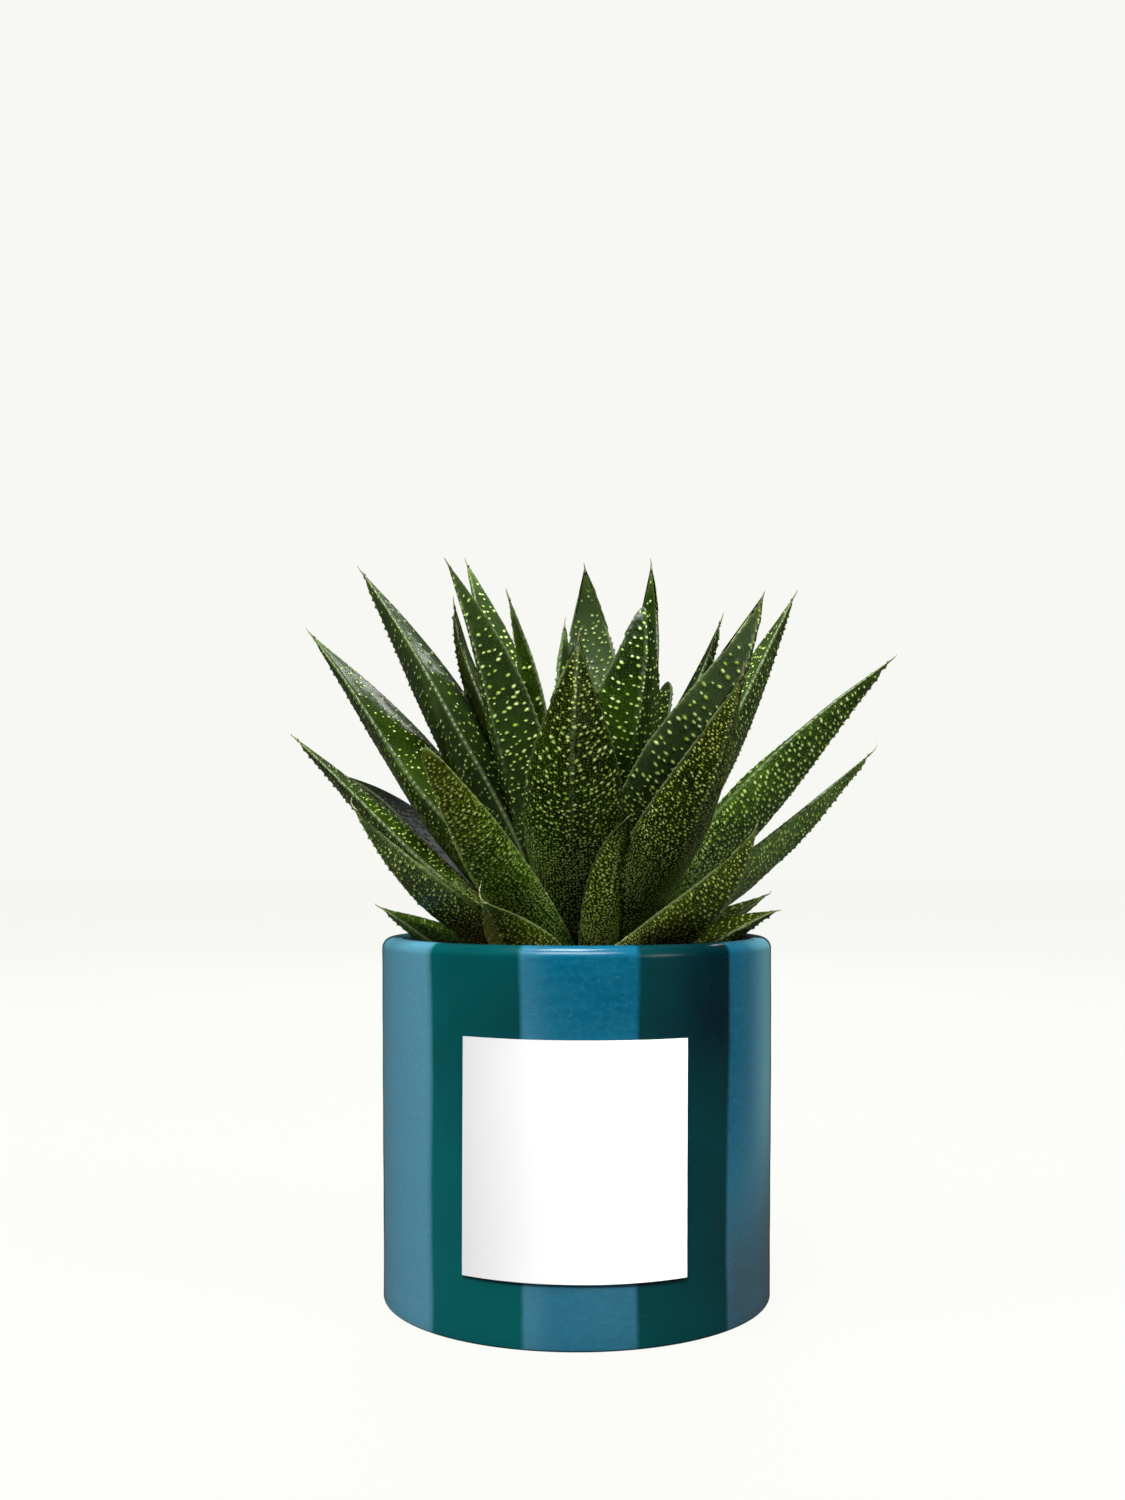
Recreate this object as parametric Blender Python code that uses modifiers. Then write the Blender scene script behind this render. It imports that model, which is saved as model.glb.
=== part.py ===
"""A small gasteria (a stemless rosette of thick, keeled, spotted leaves) growing in soil in a
straight-sided glazed ceramic pot with a square paper label.

Frame: metres, +Z up, origin at the middle of the pot's flat underside, label facing -Y.
The pot, the label, the soil, the stem and every leaf are separate solids."""

import math

import bmesh
import bpy
from mathutils import Vector
from mathutils.bvhtree import BVHTree

MM = 0.001

# ---- pot ----
POT_RADIUS = 42.5          # outside, at the top
POT_FOOT_RADIUS = 42.2     # outside, just above the bottom edge
POT_HEIGHT = 78.0
WALL = 4.5
FLOOR = 6.0                # thickness of the pot's bottom
RIM_OUTER_ROUND = 2.4
RIM_INNER_ROUND = 1.2
FOOT_ROUND = 0.6
POT_STEPS = 48

# ---- label ----
LABEL_HALF_ANGLE = 31.0    # degrees each side of the middle
LABEL_LOW, LABEL_HIGH = 13.3, 60.0
LABEL_THICKNESS = 0.25
LABEL_GAP = 0.25

# ---- soil ----
SOIL_TOP = 65.0
SOIL_RADIUS = POT_RADIUS - WALL - 0.3
STEM_HOLE_DEPTH = 9.0

# ---- stem ----
STEM_LOW_RADIUS = 7.0      # at the soil
STEM_TOP_RADIUS = 4.8
STEM_TOP = 96.0
CROWN_RADIUS = 2.6         # where the youngest leaves stand on the stem's end

GAP = 0.3                  # clearance between pieces that touch in the plant

# ---- leaf ----
STATIONS = 11              # cross-sections along a leaf, the pointed tip left out
FOOT_SHARE = 0.6           # width of the foot as a share of the leaf's greatest width
WIDEST = 0.44              # where the leaf is widest, as a share of its length from the foot
FACE_SAG = 0.03            # how hollow the upper face is, as a share of half its width

OUTER_LEAVES = 20          # the first leaves are the older, more olive ones

# One line a leaf, outermost first. Angles in degrees, lengths in mm.
# turn: direction round the stem, from the front (-Y) towards +X
# foot: height of the foot's upper face on the stem; above the stem's end, it stands on it
# reach, tip: where the tip is
# lift_a, lift_b: slope of the leaf at its foot and at its tip
# wide, thick: greatest width and depth      bend: how far the tip curves sideways
# roll: twist of the leaf about its own length
LEAVES = [
    # turn foot reach  tip  lift_a lift_b wide thick bend roll
    # the lowest, small leaves that lie on the rim
    (  18, 70.0, 34.0, 103.3, 35, 17,  9.5, 4.0,  0.0,  -3),
    ( -27, 70.0, 40.0,  86.2, 10, 15, 17.0, 6.0,  0.0,   0),
    ( -85, 70.0, 43.0,  84.4, 12, 22, 15.0, 5.5,  1.5, -20),
    (  78, 69.5, 44.0,  83.8, 12, 10, 15.0, 6.0,  0.0,  20),
    ( 112, 70.5, 48.0,  86.7, 14, 18, 13.0, 5.5,  0.0,  10),
    ( 150, 70.0, 44.0,  86.0, 12, 14, 13.0, 5.5,  0.0,   0),
    (-162, 69.5, 42.0,  84.5, 11, 15, 12.5, 5.0,  0.0,   0),
    (-120, 69.5, 36.5,  79.5,  8, 12, 12.0, 5.0,  0.0,   0),
    # the outer ring
    (  47, 71.5, 48.0, 101.4, 25, 59, 17.5, 6.0,  1.0,  -3),
    ( -62, 72.0, 51.5, 105.5, 30, 48, 16.0, 5.5, -0.5,   0),
    (-142, 71.0, 58.0, 104.0, 22, 40, 15.0, 6.5,  0.0,   0),
    ( 182, 72.0, 60.0, 104.0, 27, 35, 16.0, 7.0,  0.0,   0),
    ( -86, 73.5, 62.0, 121.7, 36, 38, 15.0, 5.5,  0.0, -12),
    (  93, 74.0, 66.3, 119.0, 30, 40, 16.0, 6.0,  0.5, -10),
    ( 128, 74.0, 58.0, 112.0, 34, 45, 16.0, 7.0,  0.0,   0),
    (-116, 74.5, 64.5, 115.5, 33, 12, 15.0, 5.5,  0.5,   0),
    # the middle ring
    ( -33, 75.0, 54.0, 116.0, 40, 39, 16.5, 7.5,  1.0, -12),
    (  40, 76.0, 50.0, 130.8, 45, 61, 16.5, 7.0,  0.0, -12),
    (-152, 78.0, 50.0, 126.0, 49, 52, 16.5, 7.5,  0.0,   0),
    ( 177, 79.5, 46.0, 128.0, 56, 56, 16.0, 7.0,  0.0,   0),
    (  -3, 79.0, 32.0, 138.7, 60, 86, 20.5, 8.0,  2.0,   0),
    (  78, 79.0, 68.2, 137.2, 41, 35, 19.5, 8.5,  0.5,  -2),
    ( -92, 79.0, 59.0, 144.8, 52, 44, 19.0, 8.5,  1.5, -24),
    ( 142, 80.0, 35.5, 137.6, 60, 66,  9.5, 5.0,  0.0,   8),
    ( 100, 82.0, 50.0, 154.6, 57, 57, 17.5, 8.5, -0.5,   8),
    # the upper, steep ring
    ( -97, 85.0, 48.8, 159.6, 70, 49, 21.5, 9.3,  0.5,  -8),
    ( -52, 86.0, 33.3, 156.2, 75, 53, 16.5, 6.0, -1.0,   2),
    (-138, 86.0, 38.5, 166.2, 74, 57, 14.5, 6.0,  1.0,  -3),
    (  58, 87.0, 45.0, 148.9, 68, 67, 20.0, 7.0,  0.0, -13),
    ( 112, 88.0, 36.0, 150.4, 72, 66, 11.5, 5.5,  0.0,  -8),
    # the heart of the rosette
    (-100, 90.0, 28.0, 152.5, 84, 79, 13.0, 5.5,  0.0,   0),
    ( 122, 90.0, 20.0, 162.0, 83, 90, 13.5, 5.5,  0.0,   8),
    (  40, 91.0, 20.0, 148.0, 82, 85, 19.0, 6.0,  1.5,  -8),
    ( 170, 91.5, 22.0, 163.8, 84,110, 17.5, 6.0,  2.0,  -6),
    ( -70, 92.0, 16.0, 152.3, 85, 68, 10.5, 4.5,  0.0,   5),
    (-150, 96.5,  9.0, 148.4, 86, 80,  7.5, 3.6, -2.0,   0),
    (  90, 96.5,  8.0, 130.0, 80, 84,  7.0, 3.4,  0.0,   0),
    ( -25, 96.5,  7.0, 121.0, 78, 84,  6.5, 3.2,  0.0,   0),
    ( 215, 96.5,  4.5, 112.0, 82, 88,  5.0, 2.6,  0.0,   0),
]


# ---------------------------------------------------------------- helpers
def collection(name):
    found = bpy.data.collections.new(name)
    bpy.context.scene.collection.children.link(found)
    return found


def material(name, colour, roughness, metallic=0.0):
    mat = bpy.data.materials.new(name)
    mat.use_nodes = True
    bsdf = mat.node_tree.nodes["Principled BSDF"]
    bsdf.inputs["Base Color"].default_value = (*colour, 1.0)
    bsdf.inputs["Roughness"].default_value = roughness
    bsdf.inputs["Metallic"].default_value = metallic
    return mat


def add(mesh, name, where, mat=None, smooth_angle=None):
    obj = bpy.data.objects.new(name, mesh)
    where.objects.link(obj)
    if mat:
        mesh.materials.append(mat)
    if smooth_angle:
        mesh.shade_smooth()
        mesh.set_sharp_from_angle(angle=math.radians(smooth_angle))
    return obj


def turned(name, profile, where, mat, steps):
    """A closed body turned about Z from (radius, height) points in mm. The first and the last
    point are on the axis, and the points run down the outer side."""
    bm = bmesh.new()
    points = [bm.verts.new((r * MM, 0.0, z * MM)) for r, z in profile]
    for a, b in zip(points, points[1:]):
        bm.edges.new((a, b))
    mesh = bpy.data.meshes.new(name)
    bm.to_mesh(mesh)
    bm.free()
    obj = add(mesh, name, where, mat)
    screw = obj.modifiers.new("Turn", "SCREW")
    screw.axis = "Z"
    screw.angle = math.tau
    screw.steps = screw.render_steps = steps
    screw.use_merge_vertices = True
    screw.merge_threshold = 0.00001
    screw.use_smooth_shade = True
    return obj


def corner(r, z, radius, start, end, steps):
    """Points of a rounded corner about (r, z), from angle start to end in degrees."""
    out = []
    for i in range(steps + 1):
        a = math.radians(start + (end - start) * i / steps)
        out.append((r + radius * math.cos(a), z + radius * math.sin(a)))
    return out


# ---------------------------------------------------------------- pot, label, soil, stem
def make_pot(where, mat):
    inside = POT_RADIUS - WALL
    profile = [(0.0, FLOOR)]
    profile += corner(inside - 3.0, FLOOR + 3.0, 3.0, -90, 0, 3)
    # up the inner wall, over the rim and down the outer wall
    profile += corner(
        inside + RIM_INNER_ROUND, POT_HEIGHT - RIM_INNER_ROUND, RIM_INNER_ROUND, 180, 90, 3
    )
    profile += corner(
        POT_RADIUS - RIM_OUTER_ROUND, POT_HEIGHT - RIM_OUTER_ROUND, RIM_OUTER_ROUND, 90, 0, 5
    )
    profile += corner(POT_FOOT_RADIUS - FOOT_ROUND, FOOT_ROUND, FOOT_ROUND, 0, -90, 3)
    profile += [(0.0, 0.0)]
    return turned("pot", profile, where, mat, POT_STEPS)


def make_label(where, mat):
    """A sheet bent round the pot: an upright edge swept through the label's angle, thickened."""
    bm = bmesh.new()
    r = POT_RADIUS + LABEL_GAP
    a = math.radians(-90.0 - LABEL_HALF_ANGLE)
    x, y = r * math.cos(a) * MM, r * math.sin(a) * MM
    top = bm.verts.new((x, y, LABEL_HIGH * MM))
    low = bm.verts.new((x, y, LABEL_LOW * MM))
    bm.edges.new((top, low))
    mesh = bpy.data.meshes.new("label")
    bm.to_mesh(mesh)
    bm.free()
    obj = add(mesh, "label", where, mat)
    screw = obj.modifiers.new("Bend", "SCREW")
    screw.axis = "Z"
    screw.angle = math.radians(2 * LABEL_HALF_ANGLE)
    screw.steps = screw.render_steps = 10
    screw.use_smooth_shade = True
    solid = obj.modifiers.new("Thickness", "SOLIDIFY")
    solid.thickness = LABEL_THICKNESS * MM
    solid.offset = 1.0
    solid.use_even_offset = True
    return obj


def stem_radius(z):
    """The stem tapers from the soil to its end."""
    share = min(1.0, max(0.0, (z - SOIL_TOP) / (STEM_TOP - SOIL_TOP)))
    return STEM_LOW_RADIUS + (STEM_TOP_RADIUS - STEM_LOW_RADIUS) * share


def make_soil(where, mat):
    """The soil fills the pot. Its hole holds the stem."""
    hole = STEM_LOW_RADIUS + GAP
    floor = FLOOR + GAP
    profile = [
        (0.0, SOIL_TOP - STEM_HOLE_DEPTH),
        (hole, SOIL_TOP - STEM_HOLE_DEPTH),
        (hole, SOIL_TOP - 0.6),
        (hole + 1.2, SOIL_TOP),
        (SOIL_RADIUS - 4.0, SOIL_TOP - 0.8),
        (SOIL_RADIUS, SOIL_TOP - 1.4),
        (SOIL_RADIUS, floor + 3.0),
        (SOIL_RADIUS - 3.0, floor),
        (0.0, floor),
    ]
    return turned("soil", profile, where, mat, 40)


def make_stem(where, mat):
    low = SOIL_TOP - STEM_HOLE_DEPTH + GAP
    profile = [(0.0, STEM_TOP)]
    profile += corner(STEM_TOP_RADIUS - 1.0, STEM_TOP - 1.0, 1.0, 90, 8, 2)
    profile += [(stem_radius(z), z) for z in (88.0, 80.0, 72.0, SOIL_TOP)]
    profile += [(STEM_LOW_RADIUS, low + 1.0), (STEM_LOW_RADIUS - 1.0, low), (0.0, low)]
    return turned("stem", profile, where, mat, 24)


# ---------------------------------------------------------------- leaves
def width_at(t):
    """Half-width share along the leaf: a foot, a belly, then a long taper to the tip."""
    s = (1.0 - t) / (1.0 - WIDEST)
    if s < 1.0:
        return math.sin(0.5 * math.pi * s) ** 1.1
    return 1.0 - (1.0 - FOOT_SHARE) * ((WIDEST - t) / WIDEST) ** 1.6


def depth_at(t):
    s = (1.0 - t) / 0.6
    if s < 1.0:
        return math.sin(0.5 * math.pi * s) ** 0.9
    return 1.0 - 0.35 * ((0.4 - t) / 0.4) ** 1.5


def leaf_frame(leaf, t):
    """Middle of the upper face, direction, sideways axis and upward axis at t along the leaf."""
    turn, foot, reach, tip, lift_a, lift_b, wide, thick, bend, roll = leaf
    turn, lift_a, lift_b = math.radians(turn), math.radians(lift_a), math.radians(lift_b)
    out = Vector((math.sin(turn), -math.cos(turn), 0.0))
    side = Vector((math.cos(turn), math.sin(turn), 0.0))
    up = Vector((0.0, 0.0, 1.0))
    root = CROWN_RADIUS if foot > STEM_TOP else stem_radius(foot) + GAP
    a = out * root + up * foot
    d = out * reach + up * tip
    handle = 0.36 * (d - a).length
    b = a + (out * math.cos(lift_a) + up * math.sin(lift_a)) * handle
    c = d - (out * math.cos(lift_b) + up * math.sin(lift_b)) * handle
    u = 1.0 - t
    centre = a * u**3 + b * (3 * u * u * t) + c * (3 * u * t * t) + d * t**3
    along = (b - a) * (3 * u * u) + (c - b) * (6 * u * t) + (d - c) * (3 * t * t)
    centre += side * (bend * t * t)
    along = (along + side * (2 * bend * t)).normalized()
    side = (side - along * side.dot(along)).normalized()
    normal = side.cross(along)
    if normal.dot(up - out) < 0:
        normal.negate()
    twist = math.radians(roll) * min(1.0, 2.0 * t)
    return (
        centre,
        along,
        side * math.cos(twist) + normal * math.sin(twist),
        normal * math.cos(twist) - side * math.sin(twist),
    )


def leaf_section(leaf, t):
    """Eight points round a keeled section, as (sideways, upward): two margins, the hollow upper
    face and a back that is round near the foot and folds to a keel towards the tip."""
    half = 0.5 * leaf[6] * width_at(t)
    deep = leaf[7] * depth_at(t)
    keel = min(1.0, max(0.0, (t - 0.15) / 0.55))
    inner = deep * (0.90 - 0.26 * keel)
    outer = deep * (0.64 - 0.26 * keel)
    return [
        (-half, 0.0),
        (0.0, 0.06 * deep - FACE_SAG * half),
        (half, 0.0),
        (0.78 * half, -outer),
        (0.40 * half, -inner),
        (0.0, -deep),
        (-0.40 * half, -inner),
        (-0.78 * half, -outer),
    ]


def leaf_mesh(name, leaf, grow=0.0):
    """Loft between the leaf's sections, closed by its foot and its pointed tip. grow moves the
    surface out, for the clearance that a neighbour keeps."""
    bm = bmesh.new()
    rings = []
    for i in range(STATIONS):
        t = 0.97 * i / (STATIONS - 1)
        centre, along, side, normal = leaf_frame(leaf, t)
        ring = []
        middle = -0.4 * leaf[7] * depth_at(t)
        for x, y in leaf_section(leaf, t):
            away = Vector((x, y - middle))
            if grow and away.length > 0:
                step = away.normalized() * grow
                x, y = x + step.x, y + step.y
            p = centre + side * x + normal * y
            if grow and i == 0:
                p -= along * 0.2
            ring.append(bm.verts.new(p * MM))
        rings.append(ring)
    centre, along, side, normal = leaf_frame(leaf, 1.0)
    tip = bm.verts.new((centre + along * grow) * MM)
    n = len(rings[0])
    for low, high in zip(rings, rings[1:]):
        for j in range(n):
            k = (j + 1) % n
            bm.faces.new((low[j], low[k], high[k], high[j]))
    for j in range(n):
        bm.faces.new((rings[-1][j], rings[-1][(j + 1) % n], tip))
    bm.faces.new(list(reversed(rings[0])))
    bmesh.ops.triangulate(bm, faces=bm.faces[:])
    bmesh.ops.recalc_face_normals(bm, faces=bm.faces[:])
    mesh = bpy.data.meshes.new(name)
    bm.to_mesh(mesh)
    bm.free()
    return mesh


def tree(mesh):
    return BVHTree.FromPolygons(
        [v.co.copy() for v in mesh.vertices], [tuple(p.vertices) for p in mesh.polygons]
    )


def make_leaves(where, cutters, mats):
    """Leaves from the outside in. Where an inner leaf presses on an outer one, it is cut back to
    leave a thin gap, as the fleshy leaves of the rosette mould to each other."""
    clearances = []
    for number, leaf in enumerate(LEAVES, 1):
        name = f"leaf_{number:02d}"
        mesh = leaf_mesh(name, leaf)
        obj = add(mesh, name, where, mats[0 if number <= OUTER_LEAVES else 1], 35)
        mine = tree(mesh)
        for outer, grown in clearances:
            if mine.overlap(grown):
                cut = obj.modifiers.new(f"Clear_{outer.name[-2:]}", "BOOLEAN")
                cut.operation = "DIFFERENCE"
                cut.solver = "EXACT"
                cut.object = outer
        grown_mesh = leaf_mesh(f"clearance_{number:02d}", leaf, GAP)
        cutter = add(grown_mesh, f"clearance_{number:02d}", cutters)
        cutter.hide_render = True
        cutter.display_type = "WIRE"
        clearances.append((cutter, tree(grown_mesh)))


def main():
    for obj in list(bpy.data.objects):
        bpy.data.objects.remove(obj, do_unlink=True)
    parts = collection("potted_gasteria")
    cutters = collection("cutters")

    glaze = material("glazed_ceramic", (0.020, 0.130, 0.190), 0.32)
    paper = material("label_paper", (0.86, 0.86, 0.85), 0.7)
    earth = material("potting_soil", (0.045, 0.030, 0.020), 0.95)
    flesh = material("stem_flesh", (0.200, 0.260, 0.080), 0.55)
    leaf_old = material("leaf_outer", (0.050, 0.090, 0.020), 0.38)
    leaf_new = material("leaf_inner", (0.030, 0.085, 0.020), 0.33)

    make_pot(parts, glaze)
    make_label(parts, paper)
    make_soil(parts, earth)
    make_stem(parts, flesh)
    make_leaves(parts, cutters, (leaf_old, leaf_new))


main()
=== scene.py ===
import math
import random

import bpy
import numpy as np
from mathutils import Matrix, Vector
from mathutils.geometry import delaunay_2d_cdt


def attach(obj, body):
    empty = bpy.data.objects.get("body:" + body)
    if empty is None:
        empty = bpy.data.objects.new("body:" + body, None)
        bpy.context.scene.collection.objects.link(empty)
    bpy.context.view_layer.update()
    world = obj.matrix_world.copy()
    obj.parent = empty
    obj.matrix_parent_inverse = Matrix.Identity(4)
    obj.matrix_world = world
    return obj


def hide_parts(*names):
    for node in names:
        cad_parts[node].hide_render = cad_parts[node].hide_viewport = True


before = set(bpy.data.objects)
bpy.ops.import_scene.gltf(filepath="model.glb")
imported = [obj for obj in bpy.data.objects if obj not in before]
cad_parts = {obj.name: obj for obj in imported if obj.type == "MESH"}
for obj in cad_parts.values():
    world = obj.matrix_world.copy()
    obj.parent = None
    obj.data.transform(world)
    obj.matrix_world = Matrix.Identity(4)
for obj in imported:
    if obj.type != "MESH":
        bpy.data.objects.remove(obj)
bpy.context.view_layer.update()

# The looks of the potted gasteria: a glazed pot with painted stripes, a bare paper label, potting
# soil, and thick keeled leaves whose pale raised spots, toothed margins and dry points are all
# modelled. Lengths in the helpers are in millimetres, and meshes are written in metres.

MM = 0.001
scene = bpy.context.scene

# ================================================================ camera
camera_data = bpy.data.cameras.new("camera")
camera_data.lens = 35.16
camera_data.sensor_width = 36.0
camera_data.shift_x = -0.0095
camera_data.shift_y = 0.076
camera_data.clip_start = 0.01
camera_data.clip_end = 20.0
camera = bpy.data.objects.new("camera", camera_data)
camera.location = (0.0, -0.323, 0.0938)
camera.rotation_euler = (math.radians(90.0), 0.0, 0.0)
scene.collection.objects.link(camera)
scene.camera = camera
scene.view_settings.view_transform = "Standard"


# ================================================================ small helpers
def lerp(a, b, f):
    return a + (b - a) * f


def smooth(a, b, x):
    """0 below a, 1 above b, smooth in between."""
    f = np.clip((np.asarray(x, float) - a) / (b - a), 0.0, 1.0)
    return f * f * (3.0 - 2.0 * f)


def new_object(name, points, faces, material, shade_smooth=True):
    mesh = bpy.data.meshes.new(name)
    mesh.from_pydata((np.asarray(points, float) * MM).tolist(), [], faces)
    mesh.validate()
    if shade_smooth:
        mesh.shade_smooth()
    mesh.materials.append(material)
    obj = bpy.data.objects.new(name, mesh)
    scene.collection.objects.link(obj)
    return obj


def put(obj, name, values):
    """Writes one number a vertex."""
    attribute = obj.data.attributes.new(name, "FLOAT", "POINT")
    attribute.data.foreach_set("value", np.asarray(values, np.float32))


class Nodes:
    """A short way to write a node tree."""

    def __init__(self, name):
        self.material = bpy.data.materials.new(name)
        self.material.use_nodes = True
        self.tree = self.material.node_tree
        self.bsdf = self.tree.nodes["Principled BSDF"]

    def wire(self, value, socket):
        if isinstance(value, bpy.types.NodeSocket):
            self.tree.links.new(value, socket)
        elif value is not None:
            if hasattr(socket.default_value, "__len__") and not hasattr(value, "__len__"):
                value = (value,) * len(socket.default_value)
            if hasattr(value, "__len__") and len(value) == 3 and len(socket.default_value) == 4:
                value = (*value, 1.0)
            socket.default_value = value

    def math(self, operation, a, b=None, clamp=False):
        node = self.tree.nodes.new("ShaderNodeMath")
        node.operation = operation
        node.use_clamp = clamp
        self.wire(a, node.inputs[0])
        if b is not None:
            self.wire(b, node.inputs[1])
        return node.outputs[0]

    def mix(self, factor, a, b, blend="MIX"):
        node = self.tree.nodes.new("ShaderNodeMix")
        node.data_type = "RGBA"
        node.blend_type = blend
        self.wire(factor, node.inputs[0])
        self.wire(a, node.inputs[6])
        self.wire(b, node.inputs[7])
        return node.outputs[2]

    def blend(self, factor, a, b):
        node = self.tree.nodes.new("ShaderNodeMix")
        node.data_type = "FLOAT"
        self.wire(factor, node.inputs[0])
        self.wire(a, node.inputs[2])
        self.wire(b, node.inputs[3])
        return node.outputs[0]

    def grey(self, value):
        node = self.tree.nodes.new("ShaderNodeCombineColor")
        for socket in node.inputs[:3]:
            self.wire(value, socket)
        return node.outputs[0]

    def span(self, value, low, high, to_low=0.0, to_high=1.0, soft=True):
        node = self.tree.nodes.new("ShaderNodeMapRange")
        node.interpolation_type = "SMOOTHSTEP" if soft else "LINEAR"
        self.wire(value, node.inputs[0])
        for i, v in enumerate((low, high, to_low, to_high), 1):
            node.inputs[i].default_value = v
        return node.outputs[0]

    def attribute(self, name):
        node = self.tree.nodes.new("ShaderNodeAttribute")
        node.attribute_name = name
        return node.outputs["Fac"]

    def position(self, scale=(1.0, 1.0, 1.0)):
        place = self.tree.nodes.new("ShaderNodeTexCoord").outputs["Object"]
        if tuple(scale) == (1.0, 1.0, 1.0):
            return place
        node = self.tree.nodes.new("ShaderNodeVectorMath")
        node.operation = "MULTIPLY"
        self.wire(place, node.inputs[0])
        node.inputs[1].default_value = scale
        return node.outputs[0]

    def noise(self, scale, detail=2.0, rough=0.5, vector=None, warp=0.0):
        node = self.tree.nodes.new("ShaderNodeTexNoise")
        node.inputs["Scale"].default_value = scale
        node.inputs["Detail"].default_value = detail
        node.inputs["Roughness"].default_value = rough
        node.inputs["Distortion"].default_value = warp
        self.wire(vector if vector is not None else self.position(), node.inputs["Vector"])
        return node.outputs["Fac"]

    def bump(self, height, strength, distance):
        node = self.tree.nodes.new("ShaderNodeBump")
        node.inputs["Strength"].default_value = strength
        node.inputs["Distance"].default_value = distance
        self.wire(height, node.inputs["Height"])
        self.wire(node.outputs[0], self.bsdf.inputs["Normal"])

    def set(self, **values):
        for name, value in values.items():
            self.wire(value, self.bsdf.inputs[name.replace("_", " ")])


def srgb(r, g, b):
    """A colour as it is read off a screen, 0 to 255, as scene-linear numbers."""
    out = []
    for c in (r, g, b):
        c /= 255.0
        out.append(c / 12.92 if c <= 0.04045 else ((c + 0.055) / 1.055) ** 2.4)
    return tuple(out)


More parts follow.
